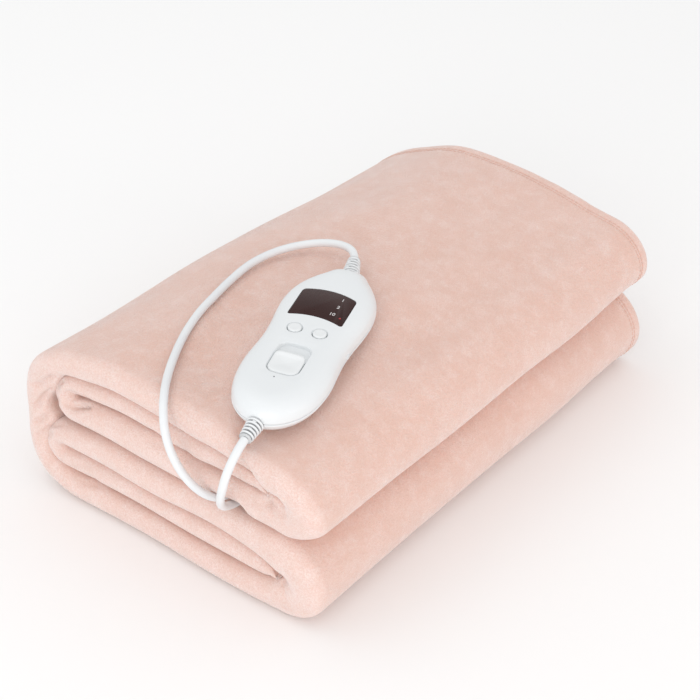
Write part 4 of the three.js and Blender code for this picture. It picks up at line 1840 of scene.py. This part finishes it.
    @staticmethod
    def _cut(item: Piece, cutters: Sequence[Piece]) -> Piece:
        """Subtracts closed cutters from a closed body and removes them.

        Args:
            item: Closed body to cut.
            cutters: Closed bodies to take away.

        Returns:
            The cut body.
        """
        name = item.name
        for cutter in cutters:
            step = item.modifiers.new("cut", "BOOLEAN")
            step.operation = "DIFFERENCE"
            step.solver = "EXACT"
            step.object = cutter
        item.name = name + "_uncut"
        result = finished_copy(item, name)
        for cutter in cutters:
            bpy.data.objects.remove(cutter)
        return result

    @staticmethod
    def _rounded(
        width: float, low: float, high: float, radius: float, grow: float, arc: int = 7
    ) -> np.ndarray:
        """Rectangle with round corners.

        Args:
            width: Its width, about x of 0.
            low: Its lower y.
            high: Its higher y.
            radius: Radius of its corners.
            grow: How far its outline is moved outwards.
            arc: Steps round a corner.

        Returns:
            Rows of x and y.
        """
        w, lo, hi, r = width / 2 + grow, low - grow, high + grow, radius + grow
        points = []
        corners = ((w - r, hi - r, 0), (-w + r, hi - r, 90), (-w + r, lo + r, 180), (w - r, lo + r, 270))
        for cx, cy, start in corners:
            for k in range(arc + 1):
                a = math.radians(start + 90 * k / arc)
                points.append((cx + r * math.cos(a), cy + r * math.sin(a)))
        return np.array(points)

    def _window_outline(self, grow: float) -> np.ndarray:
        """Window with straight ends, rounded corners and long edges bowed to the display end.

        Args:
            grow: Distance that the outline is moved outwards.

        Returns:
            Points of the outline.
        """
        base = self._rounded(self.window_width, self.window_low, self.window_high, 1.8, grow, 5)
        edges = []
        for i in range(len(base)):
            a, b = base[i], base[(i + 1) % len(base)]
            steps = max(1, int(np.linalg.norm(b - a) / 1.6))
            edges += [a + (b - a) * k / steps for k in range(steps)]
        points = np.array(edges)
        half = self.window_width / 2 + grow
        points[:, 1] += self.window_bow * (1 - (points[:, 0] / half) ** 2)
        return points

    @staticmethod
    def _prism(name: str, levels: Sequence[tuple[np.ndarray, float]]) -> Piece:
        """Closed prism through outlines at heights."""
        rings = [np.column_stack([outline, np.full(len(outline), height)]) for outline, height in levels]
        return loft(name, rings)

    def cover(self) -> Piece:
        """Domed cover with its window seat, key holes and switch recess.

        Returns:
            The cover's mesh object.
        """
        item = self._shell("controller_cover_shell", self.cover_rows, 60, True)
        top, gap = self.top, self.clearance
        floor = top - self.recess_depth
        # Growth of each outline with its height, from below
        seat = ((0.0, top - 1.7), (0.0, top - 0.05), (1.2, top + 1.15))
        recess = ((-1.2, floor), (-0.2, floor + 0.5), (0.0, top - 1.0), (0.25, top - 0.5), (1.9, top + 1.0))
        box = (self.recess_width, self.recess_low, self.recess_high, self.recess_corner)
        seat_levels = [(self._window_outline(gap + grow), height) for grow, height in seat]
        recess_levels = [(self._rounded(*box, grow), height) for grow, height in recess]
        cutters = [self._prism("window_cutter", seat_levels), self._prism("recess_cutter", recess_levels)]
        radius = self.key_diameter / 2
        hole = [(radius + gap, top - 5.0), (radius + gap, top - 0.8)]
        hole += [(radius + gap + 0.15, top - 0.6), (radius + 1.6, top + 0.9)]
        for side in (-1, 1):
            rings = [circle(r, z, 40, side * self.key_x, self.key_y) for r, z in hole]
            cutters.append(loft(f"key_cutter_{side}", rings))
        item = self._cut(item, cutters)
        soften(item, 32)
        return self.put(item)

    def base(self) -> Piece:
        """Lower shell.

        Returns:
            The shell's mesh object.
        """
        item = self._shell("controller_base_shell", self.base_rows, 36, False)
        soften(item, 60)
        return self.put(item)

    def window(self) -> Piece:
        """Smoked pane with a fine bevel.

        Returns:
            The pane's mesh object.
        """
        rows = ((0.0, 1.3), (0.0, 0.25), (-0.08, 0.08), (-0.25, 0.0))
        levels = [(self._window_outline(grow), self.pane_top - down) for grow, down in rows]
        item = self._prism("display_pane", levels)
        soften(item, 30)
        return self.put(item)

    def numerals(self) -> None:
        """Plain printed numerals on the pane, with a faint painted glow, and the small red lamp beside the
        last.
        """
        finish = NUMERAL_PAINTED_GLOW.material()
        for text, x, y in (("1", 8.9, 32.9), ("2", 8.7, 25.4), ("10", 7.6, 17.8)):
            data = bpy.data.curves.new("numeral_" + text, "FONT")
            data.body = text
            data.size = 3.8 * MM
            data.extrude = 0.04 * MM
            data.offset = 0.02 * MM
            data.align_x = "CENTER"
            data.align_y = "CENTER"
            item = finished_copy(linked("numeral_source_" + text, data), "numeral_" + text)
            item.data.transform(Matrix.Translation(Vector((x, y, self.pane_top + 0.05)) * MM))
            turn_outwards(item, 0.0005)
            dress(self.put(item), finish)
        rows = ((0.7, -0.1), (0.7, 0.04), (0.5, 0.1), (0.15, 0.13))
        lamp = loft("display_lamp", [circle(r, self.pane_top + z, 20, 13.2, 15.6) for r, z in rows])
        dress(self.put(lamp), RED_LAMP.material())

    def key(self, side: int) -> Piece:
        """Round key with a soft crown.

        Args:
            side: Side of the controller that the key is on, 1 or -1.

        Returns:
            The key's mesh object.
        """
        r = self.key_diameter / 2
        top = self.top + self.key_proud
        low = top - self.key_height
        rows = [(r - 0.3, low), (r, low + 0.3), (r, top - 0.75), (r - 0.12, top - 0.42)]
        rows += [(r - 0.42, top - 0.16), (r - 0.95, top - 0.02), (r * 0.55, top - 0.1)]
        rows += [(r * 0.25, top - 0.2), (r * 0.05, top - 0.22)]
        rings = [circle(s, z, 40, side * self.key_x, self.key_y) for s, z in rows]
        item = loft("key_left_cap" if side < 0 else "key_right_cap", rings)
        soften(item, 50)
        return self.put(item)

    def switch(self) -> Piece:
        """Slide cap with a raised front ridge and a hollow for the thumb.

        Returns:
            The cap's mesh object.
        """
        low, high = self.switch_low, self.switch_low + self.switch_length
        floor = self.top - self.recess_depth + 0.3
        rows = [(-0.6, 0.0), (0.0, 0.35), (0.0, 3.0), (-0.12, 3.45), (-0.45, 3.8), (-1.0, 4.0)]
        rings = []
        for grow, rise in rows:
            outline = self._rounded(self.switch_width, low, high, 5.4, grow)
            rings.append(np.column_stack([outline, np.full(len(outline), floor + rise)]))
        outline = self._rounded(self.switch_width, low, high, 5, -1.0)
        centre = outline.mean(axis=0)
        for shrink in np.linspace(0.86, 0.04, 22):
            points = centre + (outline - centre) * shrink
            rings.append(np.column_stack([points, np.full(len(points), floor + 4.05)]))
        for ring in rings:
            along = (ring[:, 1] - low) / (high - low)
            share = ramp(ring[:, 2] - floor, 1.0, 2.4)
            ridge = 0.75 * np.exp(-(((along - 0.87) / 0.075) ** 2))
            hollow = -1.1 * np.exp(-(((along - 0.5) / 0.27) ** 2)) * np.exp(-((ring[:, 0] / 8.5) ** 2))
            ring[:, 2] += share * (ridge + hollow - 1.3 * (1 - along))
        item = loft("switch_cap", rings)
        soften(item, 55)
        return self.put(item)

    def mark(self) -> Piece:
        """Small printed dot below the switch."""
        rows = ((0.5, -0.3), (0.5, 0.24), (0.35, 0.27))
        return self.put(loft("switch_mark", [circle(r, self.top + z, 16, -1.5, -50.0) for r, z in rows]))

    def catch(self) -> Piece:
        """Small catch that stands out of the seam on the right side.

        Returns:
            The catch's mesh object.
        """
        item = blocks("seam_catch", [((2.2, 5.0, 2.6), (25.3, -3.0, 11.2))], 0.6, 3)
        soften(item, 60)
        return self.put(item)

    def build(self) -> None:
        """Makes and dresses the controller's pieces."""
        shell, keys = SHELL_WHITE.material(), KEY_WHITE.material()
        base, cover, pane = self.base(), self.cover(), self.window()
        dress(base, shell)
        dress(cover, shell)
        dress(pane, SMOKED.material())
        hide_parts("controller_base")
        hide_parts("controller_cover")
        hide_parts("display_window")
        self.numerals()
        left, right, switch = self.key(-1), self.key(1), self.switch()
        dress(left, keys, Body.LEFT_KEY)
        dress(right, keys, Body.RIGHT_KEY)
        dress(switch, keys, Body.SWITCH)
        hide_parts("button_left")
        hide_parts("button_right")
        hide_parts("power_switch")
        dress(self.catch(), shell)
        dress(self.mark(), GREY_PRINT.material())


# Studio


@dataclass
class Studio:
    """Camera, lights and floor."""

    azimuth: float = 39.3
    elevation: float = 35.0
    distance: float = 1150.0
    target: Point = (1.0, 0.0, 55.0)
    focal_pixels: float = 1780.0
    frame_pixels: float = 700.0
    sensor: float = 36.0
    front_power: float = 15.5
    top_power: float = 2.0
    side_power: float = 5.0
    warm: Colour = (1.0, 0.84, 0.77)
    neutral: Colour = (1.0, 1.0, 1.0)
    world_strength: float = 0.88
    floor_side: float = 12000.0
    floor_level: float = -0.3

    def camera(self) -> None:
        """Camera at the photograph's viewing angle."""
        a, e = math.radians(self.azimuth), math.radians(self.elevation)
        away = Vector((math.cos(e) * math.sin(a), -math.cos(e) * math.cos(a), math.sin(e)))
        data = bpy.data.cameras.new("camera")
        data.sensor_width = self.sensor
        data.lens = self.focal_pixels / self.frame_pixels * self.sensor
        data.clip_start, data.clip_end = 0.01, 50.0
        item = linked("camera", data)
        item.location = (Vector(self.target) + away * self.distance) * MM
        item.rotation_euler = away.to_track_quat("Z", "Y").to_euler()
        bpy.context.scene.camera = item

    def _lamp(self, name: str, place: Point, size: float, power: float, colour: Colour) -> None:
        """Soft square light that looks at the target.

        Args:
            name: Its name.
            place: Its place in metres.
            size: Its side in metres.
            power: Its power in watts.
            colour: Its colour.
        """
        data = bpy.data.lights.new(name, "AREA")
        data.size = size
        data.energy = power
        data.color = colour
        item = linked(name, data)
        item.location = Vector(place)
        way = Vector(self.target) * MM - Vector(place)
        item.rotation_euler = way.to_track_quat("-Z", "Y").to_euler()
        item.visible_camera = False

    def build(self) -> None:
        """Makes the studio."""
        self.camera()
        self._lamp("front", (1.05, -1.85, 0.6), 1.6, self.front_power, self.neutral)
        self._lamp("top", (-0.5, -0.3, 1.4), 1.0, self.top_power, self.neutral)
        self._lamp("side", (2.0, 0.3, 0.35), 1.2, self.side_power, self.warm)
        world = bpy.data.worlds.new("studio")
        world.use_nodes = True
        sky = world.node_tree.nodes["Background"]
        sky.inputs["Color"].default_value = (1.0, 1.0, 1.0, 1.0)
        sky.inputs["Strength"].default_value = self.world_strength
        bpy.context.scene.world = world
        bpy.context.scene.view_settings.view_transform = "Standard"
        side, z = self.floor_side / 2, self.floor_level
        corners = [(-side, -side, z), (side, -side, z), (side, side, z), (-side, side, z)]
        floor = mesh_piece("floor", np.array(corners), [[0, 1, 2, 3]], False)
        floor.data.materials.append(FloorFinish().material())


ROWS = RowTree()
UPPER_RELIEF = Relief(
    "upper_relief", (19.65, -23.17, 128.3), (14.45, -14.6, 128.65), (9.26, -6.1, 129.0), ribs=6
)
LOWER_RELIEF = Relief("lower_relief", (65.83, -154.97, 125.06), (68.0, -164.5, 123.2), (70.1, -174.14, 121.3))
PLUG_NECK = Relief("plug_neck", (-46.9, 191.5, 7.0), (-37.0, 191.5, 7.0), (-26.8, 191.5, 7.0), 10.0, 6.4)


def main() -> None:
    """Builds the whole scene in order."""
    logging.basicConfig(level=logging.INFO, format="%(name)s %(message)s")
    Studio().build()

    leads = Leads()
    blanket_lead, mains_lead, tie = leads.build()
    upper = UPPER_RELIEF.build("relief_upper")
    lower = LOWER_RELIEF.build("relief_lower")
    neck = PLUG_NECK.build("plug_relief")
    plug = Plug().build()
    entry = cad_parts["cloth_entry"]
    entry.data.materials.clear()
    entry.data.materials.append(LEAD_WHITE.material())

    cloth, stitches = FoldedCloth().build()
    dress(cloth, PLUSH.material())
    dress(stitches, THREAD.material())
    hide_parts("blanket")
    Controller().build()


if __name__ == "__main__":
    main()
